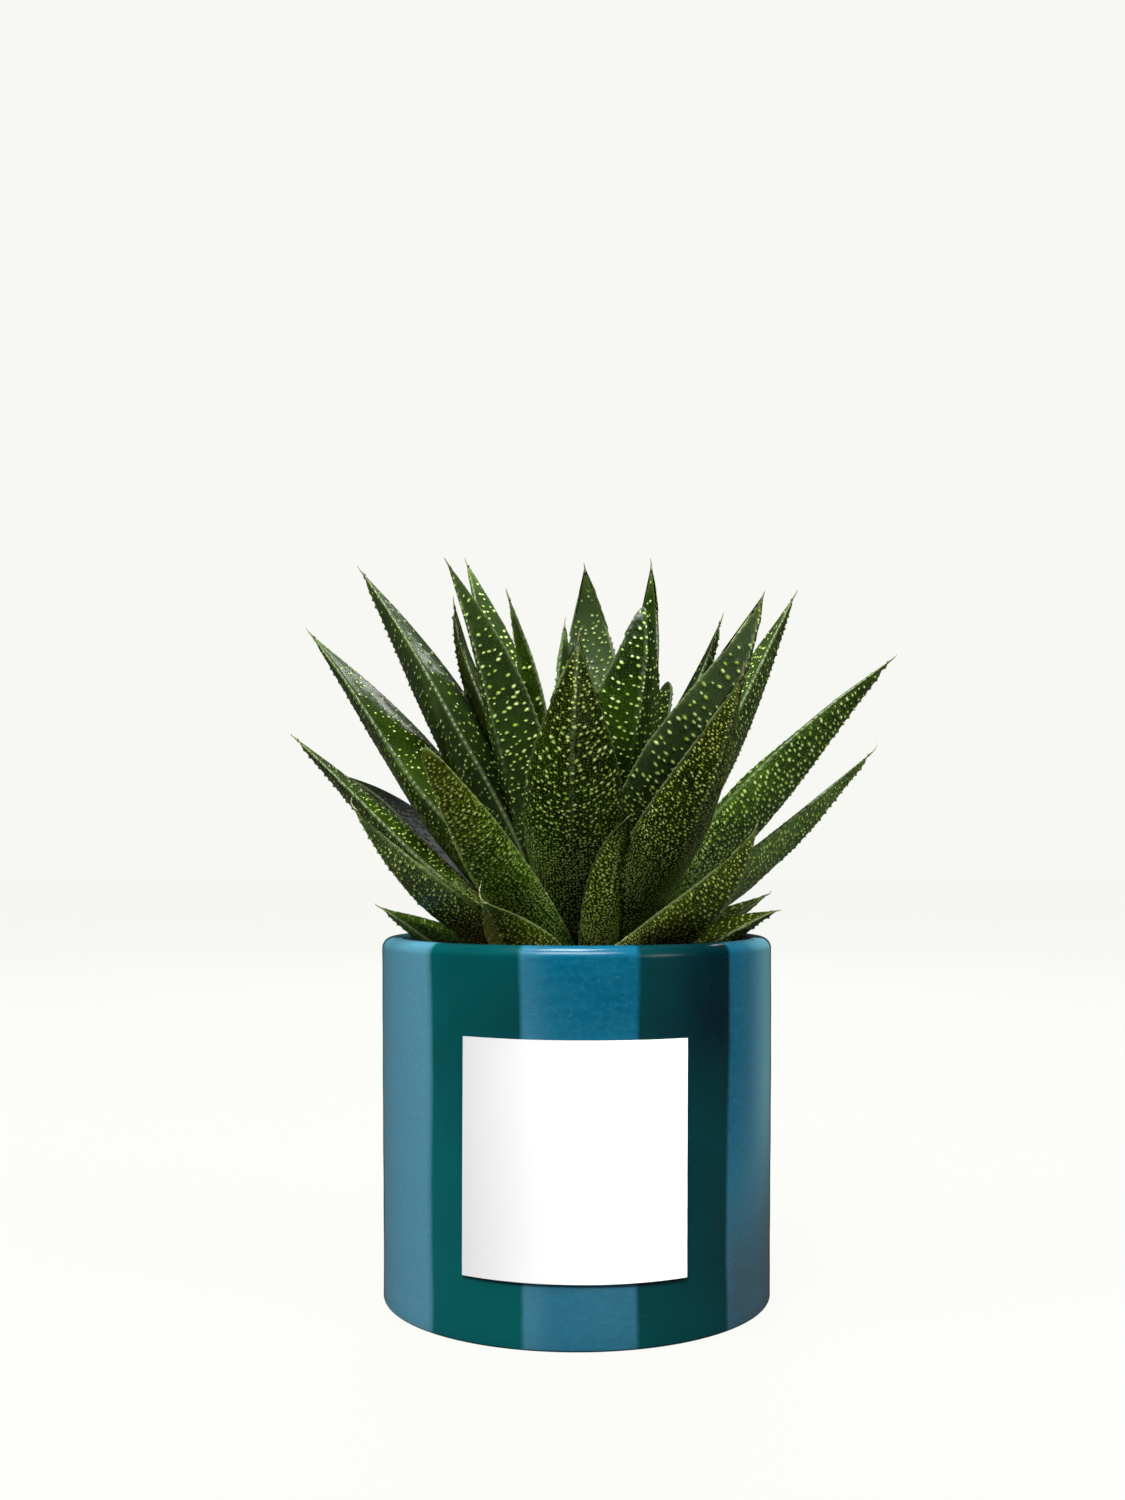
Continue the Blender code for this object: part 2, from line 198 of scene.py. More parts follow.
# ================================================================ materials
def glaze_material():
    """Two glazes painted by hand in upright stripes, blue and sea green, under one satin gloss."""
    n = Nodes("painted_glaze")
    xyz = n.tree.nodes.new("ShaderNodeSeparateXYZ")
    n.wire(n.position(), xyz.inputs[0])
    angle = n.math("ARCTAN2", xyz.outputs[0], n.math("MULTIPLY", xyz.outputs[1], -1.0))
    # the brush wandered a little: a slow drift up the wall and a fine ragged edge
    slow = n.noise(26.0, 1.0, vector=n.position((1.0, 1.0, 0.9)))
    fine = n.noise(420.0, 2.0, 0.6)
    angle = n.math("ADD", angle, n.math("MULTIPLY", n.math("SUBTRACT", slow, 0.5), 0.055))
    angle = n.math("ADD", angle, n.math("MULTIPLY", n.math("SUBTRACT", fine, 0.5), 0.009))
    turn = n.math("ADD", n.math("DIVIDE", angle, math.tau), 0.5)
    ramp = n.tree.nodes.new("ShaderNodeValToRGB")
    ramp.color_ramp.interpolation = "LINEAR"
    edges = (-165.0, -135.5, -106.0, -77.0, -43.5, -14.5, 16.5, 45.3, 77.0, 106.0, 135.5, 165.0)
    stops = []
    green = False                      # the stripe at the back, at 180 degrees, is blue
    soft = 0.22
    stops.append((0.0, green))
    for edge in edges:
        stops.append((0.5 + (edge - soft) / 360.0, green))
        green = not green
        stops.append((0.5 + (edge + soft) / 360.0, green))
    row = ramp.color_ramp.elements
    row[0].position, row[1].position = stops[0][0], stops[1][0]
    while len(row) < len(stops):
        row.new(1.0)
    for element, (place, is_green) in zip(row, stops):
        element.position = place
        element.color = (1.0, 1.0, 1.0, 1.0) if is_green else (0.0, 0.0, 0.0, 1.0)
    n.wire(turn, ramp.inputs[0])
    stripe = ramp.outputs[0]

    # thick and thin glaze, and painted light. A slow cloud of thick and thin glaze runs through both colours. The
    # blue is drawn paler left of the front as painted light from the left, darker again from about 40 degrees right
    # as painted shade, paler toward the far right, both sides and low on the right as painted reflection, and paler
    # toward the foot as painted light from the floor; the green is drawn darker the further round to the right,
    # partly heavier glaze and partly painted shade, and lighter toward the foot as painted light from the floor.
    cloud = n.noise(34.0, 3.0, 0.5)
    round_it = n.math("MULTIPLY", angle, 180.0 / math.pi)
    side = n.math("ABSOLUTE", round_it)
    # toward the foot, where painted light from the floor is drawn in
    low = n.span(xyz.outputs[2], 0.066, 0.010)
    swirl = n.math("MULTIPLY", n.math("SUBTRACT", cloud, 0.5), 1.5)
    near = n.span(side, 172.0, 105.0)  # both ways round meet in the same glaze at the back
    # painted light and reflection on the blue at the front: paler left of the front (light from the left), darker
    # from about 40 degrees right (shade), paler toward the far right and both sides (reflection at grazing angles)
    chalk_and_painted_light = n.span(round_it, -4.0, -16.0, 0.0, 0.35)
    chalk_and_painted_light = n.math("SUBTRACT", chalk_and_painted_light, n.span(round_it, 36.0, 46.0, 0.0, 0.62))
    chalk_and_painted_light = n.math("ADD", chalk_and_painted_light, n.span(round_it, 48.0, 72.0, 0.0, 0.65))
    chalk_and_painted_light = n.math("MULTIPLY", chalk_and_painted_light, near)
    chalk_and_painted_light = n.math("ADD", chalk_and_painted_light, n.span(side, 14.0, 56.0, 0.0, 0.80))
    chalk_and_painted_light = n.math("ADD", chalk_and_painted_light, n.math("MULTIPLY", low, 0.34))
    chalk_and_painted_light = n.math("ADD", chalk_and_painted_light, n.math("MULTIPLY", swirl, 0.35), True)
    # the green drawn darker toward the right, partly heavier glaze and partly painted shade; lighter at the foot as
    # painted light from the floor
    weight_and_painted_light = n.span(round_it, -52.0, 44.0, 0.16, 0.95, False)
    weight_and_painted_light = n.math("SUBTRACT", weight_and_painted_light, n.math("MULTIPLY", low, 0.34))
    weight_and_painted_light = n.math("ADD", weight_and_painted_light, n.math("MULTIPLY", swirl, 0.55), True)
    grain = n.noise(1.0, 3.0, 0.6, vector=n.position((700.0, 700.0, 1000.0)))
    fleck = n.span(n.noise(1500.0, 2.0, 0.6), 0.64, 0.74)
    scratch = n.span(n.noise(1.0, 2.0, 0.5, vector=n.position((330.0, 330.0, 2300.0))), 0.66, 0.78)
    drag = n.noise(1.0, 3.0, 0.6, vector=n.position((90.0, 90.0, 900.0)))
    blue = n.mix(chalk_and_painted_light, srgb(0, 72, 95), srgb(64, 110, 127))
    blue = n.mix(n.math("MULTIPLY", n.span(grain, 0.42, 0.72), 0.07), blue, srgb(70, 136, 158))
    blue = n.mix(n.math("MULTIPLY", n.span(grain, 0.52, 0.28), 0.08), blue, srgb(0, 62, 86))
    # painted reflection: the blue drawn paler low on the right side
    pale = n.math("MULTIPLY", n.span(round_it, 54.0, 76.0), n.span(xyz.outputs[2], 0.020, 0.050))
    pale = n.math("MULTIPLY", pale, near)
    blue = n.mix(n.math("MULTIPLY", pale, 0.85), blue, srgb(104, 164, 176))
    dull = n.math("MULTIPLY", n.span(round_it, 40.0, 50.0), n.span(xyz.outputs[2], 0.034, 0.008))
    dull = n.math("MULTIPLY", dull, near)
    blue = n.mix(n.math("MULTIPLY", dull, 0.70), blue, srgb(50, 62, 70))
    blue = n.mix(n.math("MULTIPLY", fleck, 0.08), blue, srgb(110, 168, 186))
    blue = n.mix(n.math("MULTIPLY", scratch, 0.15), blue, srgb(96, 160, 184))
    blue = n.mix(n.math("MULTIPLY", n.span(drag, 0.35, 0.75), 0.10), blue, srgb(24, 120, 150))
    green = n.mix(weight_and_painted_light, srgb(0, 70, 71), srgb(0, 22, 30))
    green = n.mix(n.math("MULTIPLY", fleck, 0.06), green, srgb(40, 120, 120))
    colour = n.mix(stripe, blue, green)
    n.set(
        Base_Color=colour,
        Roughness=n.blend(n.span(cloud, 0.3, 0.7), 0.21, 0.27),
        Specular_IOR_Level=0.28,
    )
    height = n.math("ADD", n.math("MULTIPLY", drag, 0.35), n.noise(150.0, 3.0, 0.5))
    n.bump(height, 0.10, 0.0004)
    return n.material


def paper_material():
    """Uncoated white label paper with a faint fibre, with painted shade greying its left edge."""
    n = Nodes("label_paper")
    fibre = n.noise(1.0, 4.0, 0.65, vector=n.position((900.0, 900.0, 1300.0)))
    place = n.tree.nodes.new("ShaderNodeSeparateXYZ")
    n.wire(n.position(), place.inputs[0])
    # painted shade: the label's left end is drawn greyer
    painted_shade = n.mix(n.span(place.outputs[0], -0.0226, -0.0050, 0.0, 1.0, False), srgb(186, 186, 187),
                   srgb(211, 211, 211))
    colour = n.mix(n.span(fibre, 0.3, 0.7), srgb(248, 248, 248), srgb(252, 252, 252))
    colour = n.mix(n.span(place.outputs[0], -0.0062, 0.0040), painted_shade, colour)
    n.set(Base_Color=colour, Roughness=n.blend(fibre, 0.55, 0.68))
    n.bump(fibre, 0.06, 0.00005)
    return n.material


def soil_material():
    """Dark peat and bark crumbs, with a few pale grains of perlite."""
    n = Nodes("potting_soil")
    grain = n.noise(700.0, 4.0, 0.7)
    patch = n.noise(120.0, 3.0, 0.6)
    colour = n.mix(n.span(grain, 0.3, 0.75), srgb(22, 15, 10), srgb(78, 56, 38))
    colour = n.mix(n.math("MULTIPLY", n.span(patch, 0.45, 0.7), 0.6), colour, srgb(48, 36, 28))
    kind = n.attribute("kind")
    colour = n.mix(n.span(kind, 0.45, 0.55), colour, srgb(96, 66, 42))
    colour = n.mix(n.span(kind, 0.85, 0.95), colour, srgb(196, 190, 178))
    n.set(Base_Color=colour, Roughness=n.blend(grain, 0.80, 0.96))
    n.bump(grain, 0.6, 0.0006)
    return n.material


def stem_material():
    """Pale green flesh with brown scars where old leaves came off."""
    n = Nodes("stem_flesh")
    ring = n.noise(1.0, 3.0, 0.6, vector=n.position((90.0, 90.0, 520.0)))
    colour = n.mix(n.span(ring, 0.42, 0.62), srgb(96, 112, 52), srgb(84, 62, 34))
    n.set(Base_Color=colour, Roughness=n.blend(ring, 0.5, 0.75))
    n.bump(ring, 0.4, 0.0006)
    return n.material


def leaf_material(name, sheen):
    """Leaf skin: dark mottled green, olive on the old leaves, with pale raised spots. The mesh
    says where the spots, margins and tips are. The crowded dashes at the foot, too fine to be
    modelled one by one, are drawn in the leaf's own developed coordinates."""
    n = Nodes(name)
    raised = n.attribute("spot")
    spot = n.span(raised, 0.10, 0.70)
    crown = n.span(raised, 0.42, 1.12)
    pale = n.attribute("pale")
    along = n.attribute("along")
    edge = n.attribute("edge")
    olive = n.attribute("olive")
    upper = n.attribute("upper")
    tip = n.attribute("tip")
    blotch = n.noise(95.0, 3.0, 0.55)
    streak = n.noise(330.0, 3.0, 0.6)
    skin = n.mix(n.span(blotch, 0.30, 0.72), srgb(9, 18, 0), srgb(24, 40, 1))
    skin = n.mix(n.math("MULTIPLY", n.span(streak, 0.35, 0.75), 0.30), skin, srgb(34, 54, 4))
    young = n.mix(n.span(blotch, 0.30, 0.70), srgb(16, 48, 0), srgb(44, 78, 2))
    skin = n.mix(n.attribute("fresh"), skin, young)
    old = n.mix(n.span(blotch, 0.30, 0.70), srgb(34, 36, 1), srgb(62, 66, 5))
    skin = n.mix(n.math("MULTIPLY", olive, n.span(streak, 0.10, 0.60, 0.65, 1.0)), skin, old)
    skin = n.mix(n.math("MULTIPLY", upper, 0.15), skin, srgb(30, 50, 16))
    # painted sheen: a grey reflection drawn into the skin colour
    skin = n.mix(n.math("MULTIPLY", n.attribute("painted_sheen"), n.span(blotch, 0.2, 0.7, 0.6, 1.0)), skin,
                 srgb(70, 88, 56))
    # a red-brown flank; on leaf 17 the brown left flank is painted shade
    rust_and_shade = n.attribute("rust_and_shade")
    skin = n.mix(rust_and_shade, skin, srgb(54, 36, 17))
    skin = n.mix(n.math("MULTIPLY", tip, 0.50), skin, srgb(84, 104, 36))
    # painted highlight: a pale line drawn along the keel's crest
    crest = n.math("POWER", n.attribute("line"), 1.6)
    skin = n.mix(n.math("MULTIPLY", crest, n.span(streak, 0.30, 0.60, 0.35, 0.85)), skin, srgb(140, 160, 112))
    # the leaf's own tone together with painted light and shade: darker toward the feet of the inner leaves and on
    # leaves in shade, lighter on leaves in light
    level = n.attribute("tone_and_painted_light")
    skin = n.mix(1.0, skin, n.grey(level), "MULTIPLY")
    skin = n.mix(n.math("MULTIPLY", edge, 0.30), skin, srgb(122, 138, 92))
    # dashes at the foot
    run, off = n.attribute("run"), n.attribute("off")
    cell = n.tree.nodes.new("ShaderNodeCombineXYZ")
    n.wire(n.math("MULTIPLY", off, 1.40), cell.inputs[0])
    n.wire(n.math("MULTIPLY", run, 1.95), cell.inputs[1])
    n.wire(n.attribute("seed"), cell.inputs[2])
    grains = n.tree.nodes.new("ShaderNodeTexVoronoi")
    grains.voronoi_dimensions = "2D"
    grains.inputs["Scale"].default_value = 1.0
    grains.inputs["Randomness"].default_value = 0.72
    n.wire(cell.outputs[0], grains.inputs["Vector"])
    chance = n.tree.nodes.new("ShaderNodeSeparateColor")
    n.wire(grains.outputs["Color"], chance.inputs[0])
    radius = n.math("MULTIPLY", n.blend(chance.outputs[0], 0.16, 0.40), n.attribute("dash"))
    dash = n.math("SUBTRACT", radius, grains.outputs["Distance"])
    dash = n.span(dash, -0.03, 0.05)
    dash = n.math("MULTIPLY", dash, n.math("SUBTRACT", 1.0, spot))
    shown = n.math("SUBTRACT", 1.0, n.attribute("dim"))
    shown = n.math("MULTIPLY", shown, n.math("SUBTRACT", 1.0, n.math("MULTIPLY", rust_and_shade, 0.45)))
    skirt = n.mix(pale, srgb(96, 124, 24), srgb(136, 162, 62))
    skirt = n.mix(n.math("MULTIPLY", olive, 0.8), skirt, srgb(122, 126, 26))
    dot = n.mix(pale, srgb(152, 178, 70), srgb(216, 228, 172))
    dot = n.mix(n.math("MULTIPLY", olive, 0.6), dot, srgb(178, 180, 78))
    dot = n.mix(n.span(along, 0.10, 0.45, 0.50, 0.0), dot, srgb(142, 156, 108))
    mark = n.math("MAXIMUM", n.math("MULTIPLY", spot, 0.85), n.math("MULTIPLY", dash, 0.95))
    colour = n.mix(n.math("MULTIPLY", mark, shown), skin, skirt)
    crown = n.math("MAXIMUM", crown, n.math("MULTIPLY", dash, n.span(along, 0.50, 0.20, 0.10, 0.60)))
    colour = n.mix(n.math("MULTIPLY", crown, shown), colour, dot)
    dry = n.attribute("dry")
    # the spots take the painted light and shade too
    lit = n.span(level, 0.15, 1.20, 0.42, 1.10, False)
    colour = n.mix(mark, colour, n.mix(1.0, colour, n.grey(lit), "MULTIPLY"))
    colour = n.mix(dry, colour, n.mix(n.attribute("straw"), srgb(84, 68, 44), srgb(186, 180, 144)))
    dull = n.blend(n.attribute("gloss"), 0.10, 0.0)
    dull = n.math("ADD", dull, n.span(along, 0.30, 0.10, 0.0, 0.14))
    n.set(
        Base_Color=colour,
        Roughness=n.math("ADD", dull, n.blend(crown, n.blend(streak, 0.21, 0.28), 0.22)),
        Specular_IOR_Level=sheen,
    )
    height = n.math("ADD", n.noise(1500.0, 2.0), n.math("MULTIPLY", streak, 0.6))
    height = n.math("ADD", height, n.math("MULTIPLY", dash, 1.2))
    n.bump(height, 0.25, 0.00010)
    return n.material


# ================================================================ pot, label, soil
POT_RADIUS, POT_FOOT_RADIUS, POT_HEIGHT = 42.5, 42.2, 78.0
WALL, FLOOR = 4.5, 6.0
SOIL_TOP = 65.0
SOIL_RADIUS = POT_RADIUS - WALL - 0.3


def corner(r, z, radius, start, end, steps):
    out = []
    for i in range(steps + 1):
        a = math.radians(lerp(start, end, i / steps))
        out.append((r + radius * math.cos(a), z + radius * math.sin(a)))
    return out


def make_pot(material):
    """The wall is thrown, so its outside is true only to about a tenth of a millimetre."""
    inside = POT_RADIUS - WALL
    profile = corner(inside - 3.0, FLOOR + 3.0, 3.0, -90, 0, 5)
    profile += [(inside, z) for z in (20.0, 35.0, 50.0, 62.0, 70.0)]
    profile += corner(inside + 1.2, POT_HEIGHT - 1.2, 1.2, 180, 90, 6)
    profile += corner(POT_RADIUS - 2.4, POT_HEIGHT - 2.4, 2.4, 90, 0, 12)
    for i in range(1, 24):
        z = lerp(POT_HEIGHT - 2.4, 0.6, i / 24)
        profile.append((lerp(POT_RADIUS, POT_FOOT_RADIUS, i / 24), z))
    profile += corner(POT_FOOT_RADIUS - 0.6, 0.6, 0.6, 0, -90, 7)
    steps = 224
    points, faces = [(0.0, 0.0, FLOOR)], []
    for j, (r, z) in enumerate(profile):
        for i in range(steps):
            a = math.tau * i / steps
            wave = 0.0
            if r > inside + 1.0 and z > 1.0:
                wave = 0.05 * math.sin(3 * a + 0.05 * z) + 0.03 * math.sin(7 * a + 1.0 - 0.09 * z)
                wave += 0.02 * math.sin(0.42 * z + 2.0 * a)
            points.append(((r + wave) * math.cos(a), (r + wave) * math.sin(a), z))
    points.append((0.0, 0.0, 0.0))
    last = len(profile) - 1
    for i in range(steps):
        k = (i + 1) % steps
        faces.append((0, 1 + i, 1 + k))
        for j in range(last):
            a, b = 1 + j * steps, 1 + (j + 1) * steps
            faces.append((a + i, b + i, b + k, a + k))
        a = 1 + last * steps
        faces.append((a + i, len(points) - 1, a + k))
    pot = new_object("pot_glazed", points, faces, material)
    pot.data.set_sharp_from_angle(angle=math.radians(50))
    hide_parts("pot")
    return pot


def make_label(material):
    """A paper label stuck round the front, cut square and stuck on very slightly askew."""
    across, up = 72, 24
    radius, thick = POT_RADIUS + 0.16, 0.18
    low, high = 13.3, 60.0
    points, faces = [], []
    for layer in (0, 1):
        for j in range(up + 1):
            for i in range(across + 1):
                u, v = i / across, j / up
                a = math.radians(lerp(-31.3, 30.4, u) - 0.25 * (1 - v))
                z = lerp(low, high, v) + lerp(0.15, -0.15, u)
                edge = min(u, 1 - u, v, 1 - v)
                lift = 0.05 * (1 - min(1.0, edge * 14)) + 0.02 * math.sin(9 * u + 4 * v)
                r = radius + lift + (thick if layer else 0.0)
                points.append((r * math.sin(a), -r * math.cos(a), z))
    size = (up + 1) * (across + 1)

    def at(layer, i, j):
        return layer * size + j * (across + 1) + i

    for j in range(up):
        for i in range(across):
            faces.append((at(1, i, j), at(1, i + 1, j), at(1, i + 1, j + 1), at(1, i, j + 1)))
            faces.append((at(0, i, j), at(0, i, j + 1), at(0, i + 1, j + 1), at(0, i + 1, j)))
    for i in range(across):
        faces.append((at(0, i, 0), at(0, i + 1, 0), at(1, i + 1, 0), at(1, i, 0)))
        faces.append((at(0, i + 1, up), at(0, i, up), at(1, i, up), at(1, i + 1, up)))
    for j in range(up):
        faces.append((at(0, 0, j + 1), at(0, 0, j), at(1, 0, j), at(1, 0, j + 1)))
        faces.append((at(0, across, j), at(0, across, j + 1), at(1, across, j + 1), at(1, across, j)))
    label = new_object("label_sheet", points, faces, material)
    label.data.set_sharp_from_angle(angle=math.radians(40))
    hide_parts("label")
    return label


def make_soil(material):
    """A rough top of peat with loose crumbs, bark and perlite lying on it."""
    rng = random.Random(41)
    points, faces, kinds = [], [], []
    rings, steps = 30, 120
    waves = [(rng.uniform(0.15, 0.9), rng.uniform(0, 6.3), rng.uniform(0, 6.3)) for _ in range(12)]

    def top(x, y):
        h = 0.0
        for i, (f, p, q) in enumerate(waves):
            h += 0.45 / (1 + 2 * f) * math.sin(f * x + p + 0.3 * i) * math.cos(f * y + q)
        return SOIL_TOP - 0.9 + 0.7 * h

    points.append((0.0, 0.0, top(0, 0)))
    kinds.append(0.0)
    for j in range(1, rings + 1):
        r = SOIL_RADIUS * j / rings
        for i in range(steps):
            a = math.tau * i / steps
            x, y = r * math.cos(a), r * math.sin(a)
            points.append((x, y, top(x, y) + (rng.uniform(-0.25, 0.25) if j < rings else 0.0)))
            kinds.append(0.0)
    for z in (SOIL_TOP - 4.0, 9.5, 6.4):
        r = SOIL_RADIUS - (3.0 if z < 7 else 0.0)
        for i in range(steps):
            a = math.tau * i / steps
            points.append((r * math.cos(a), r * math.sin(a), z))
            kinds.append(0.0)
    points.append((0.0, 0.0, 6.4))
    kinds.append(0.0)
    for i in range(steps):
        k = (i + 1) % steps
        faces.append((0, 1 + i, 1 + k))
        for j in range(rings + 2):
            a, b = 1 + j * steps, 1 + (j + 1) * steps
            faces.append((a + i, b + i, b + k, a + k))
        a = 1 + (rings + 2) * steps
        faces.append((a + i, len(points) - 1, a + k))
    # loose crumbs: squashed lumps half sunk in the top
    shape = []
    for z, count in ((-1.0, 1), (-0.45, 5), (0.45, 5), (1.0, 1)):
        for i in range(count):
            r = math.sqrt(max(0.0, 1 - z * z))
            a = math.tau * (i + (0.5 if z > 0 else 0.0)) / max(1, count)
            shape.append((r * math.cos(a), r * math.sin(a), z))
    tris = []
    for i in range(5):
        k = (i + 1) % 5
        tris += [(0, 1 + k, 1 + i), (1 + i, 1 + k, 6 + i), (1 + k, 6 + k, 6 + i), (6 + i, 6 + k, 11)]
    for _ in range(1100):
        r = SOIL_RADIUS * math.sqrt(rng.uniform(0.03, 0.96))
        a = rng.uniform(0, math.tau)
        x, y = r * math.cos(a), r * math.sin(a)
        pick = rng.random()
        kind = 1.0 if pick > 0.93 else (0.6 if pick > 0.6 else 0.0)
        size = rng.uniform(0.4, 1.3)
        if r + size * 1.4 > SOIL_RADIUS - 0.1:
            continue
        stretch = (size * rng.uniform(0.8, 1.6), size, size * rng.uniform(0.5, 0.9))
        spin = rng.uniform(0, math.tau)
        c, s = math.cos(spin), math.sin(spin)
        first = len(points)
        for px, py, pz in shape:
            wobble = rng.uniform(0.8, 1.2)
            lx, ly = px * stretch[0] * wobble, py * stretch[1] * wobble
            points.append(
                (x + c * lx - s * ly, y + s * lx + c * ly, top(x, y) + 0.25 * size + pz * stretch[2])
            )
            kinds.append(kind)
        faces += [tuple(first + v for v in t) for t in tris]
    soil = new_object("soil_crumbs", points, faces, material)
    soil.data.set_sharp_from_angle(angle=math.radians(55))
    put(soil, "kind", kinds)
    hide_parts("soil")
    return soil


# ================================================================ leaves
STEM_LOW_RADIUS, STEM_TOP_RADIUS, STEM_TOP, CROWN_RADIUS = 7.0, 4.8, 96.0, 2.6
GAP = 0.3
FOOT_SHARE, WIDEST = 0.6, 0.44

# The same leaves as in the CAD, outermost first.
LEAVES = [
    # turn foot reach  tip  lift_a lift_b wide thick bend roll
    (  18, 70.0, 34.0, 103.3, 35, 17,  9.5, 4.0,  0.0,  -3),
    ( -27, 70.0, 40.0,  86.2, 10, 15, 17.0, 6.0,  0.0,   0),
    ( -85, 70.0, 43.0,  84.4, 12, 22, 15.0, 5.5,  1.5, -20),
    (  78, 69.5, 44.0,  83.8, 12, 10, 15.0, 6.0,  0.0,  20),
    ( 112, 70.5, 48.0,  86.7, 14, 18, 13.0, 5.5,  0.0,  10),
    ( 150, 70.0, 44.0,  86.0, 12, 14, 13.0, 5.5,  0.0,   0),
    (-162, 69.5, 42.0,  84.5, 11, 15, 12.5, 5.0,  0.0,   0),
    (-120, 69.5, 36.5,  79.5,  8, 12, 12.0, 5.0,  0.0,   0),
    (  47, 71.5, 48.0, 101.4, 25, 59, 17.5, 6.0,  1.0,  -3),
    ( -62, 72.0, 51.5, 105.5, 30, 48, 16.0, 5.5, -0.5,   0),
    (-142, 71.0, 58.0, 104.0, 22, 40, 15.0, 6.5,  0.0,   0),
    ( 182, 72.0, 60.0, 104.0, 27, 35, 16.0, 7.0,  0.0,   0),
    ( -86, 73.5, 62.0, 121.7, 36, 38, 15.0, 5.5,  0.0, -12),
    (  93, 74.0, 66.3, 119.0, 30, 40, 16.0, 6.0,  0.5, -10),
    ( 128, 74.0, 58.0, 112.0, 34, 45, 16.0, 7.0,  0.0,   0),
    (-116, 74.5, 64.5, 115.5, 33, 12, 15.0, 5.5,  0.5,   0),
    ( -33, 75.0, 54.0, 116.0, 40, 39, 16.5, 7.5,  1.0, -12),
    (  40, 76.0, 50.0, 130.8, 45, 61, 16.5, 7.0,  0.0, -12),
    (-152, 78.0, 50.0, 126.0, 49, 52, 16.5, 7.5,  0.0,   0),
    ( 177, 79.5, 46.0, 128.0, 56, 56, 16.0, 7.0,  0.0,   0),
    (  -3, 79.0, 32.0, 138.7, 60, 86, 20.5, 8.0,  2.0,   0),
    (  78, 79.0, 68.2, 137.2, 41, 35, 19.5, 8.5,  0.5,  -2),
    ( -92, 79.0, 59.0, 144.8, 52, 44, 19.0, 8.5,  1.5, -24),
    ( 142, 80.0, 35.5, 137.6, 60, 66,  9.5, 5.0,  0.0,   8),
    ( 100, 82.0, 50.0, 154.6, 57, 57, 17.5, 8.5, -0.5,   8),
    ( -97, 85.0, 48.8, 159.6, 70, 49, 21.5, 9.3,  0.5,  -8),
    ( -52, 86.0, 33.3, 156.2, 75, 53, 16.5, 6.0, -1.0,   2),
    (-138, 86.0, 38.5, 166.2, 74, 57, 14.5, 6.0,  1.0,  -3),
    (  58, 87.0, 45.0, 148.9, 68, 67, 20.0, 7.0,  0.0, -13),
    ( 112, 88.0, 36.0, 150.4, 72, 66, 11.5, 5.5,  0.0,  -8),
    (-100, 90.0, 28.0, 152.5, 84, 79, 13.0, 5.5,  0.0,   0),
    ( 122, 90.0, 20.0, 162.0, 83, 90, 13.5, 5.5,  0.0,   8),
    (  40, 91.0, 20.0, 148.0, 82, 85, 19.0, 6.0,  1.5,  -8),
    ( 170, 91.5, 22.0, 163.8, 84,110, 17.5, 6.0,  2.0,  -6),
    ( -70, 92.0, 16.0, 152.3, 85, 68, 10.5, 4.5,  0.0,   5),
    (-150, 96.5,  9.0, 148.4, 86, 80,  7.5, 3.6, -2.0,   0),
    (  90, 96.5,  8.0, 130.0, 80, 84,  7.0, 3.4,  0.0,   0),
    ( -25, 96.5,  7.0, 121.0, 78, 84,  6.5, 3.2,  0.0,   0),
    ( 215, 96.5,  4.5, 112.0, 82, 88,  5.0, 2.6,  0.0,   0),
]
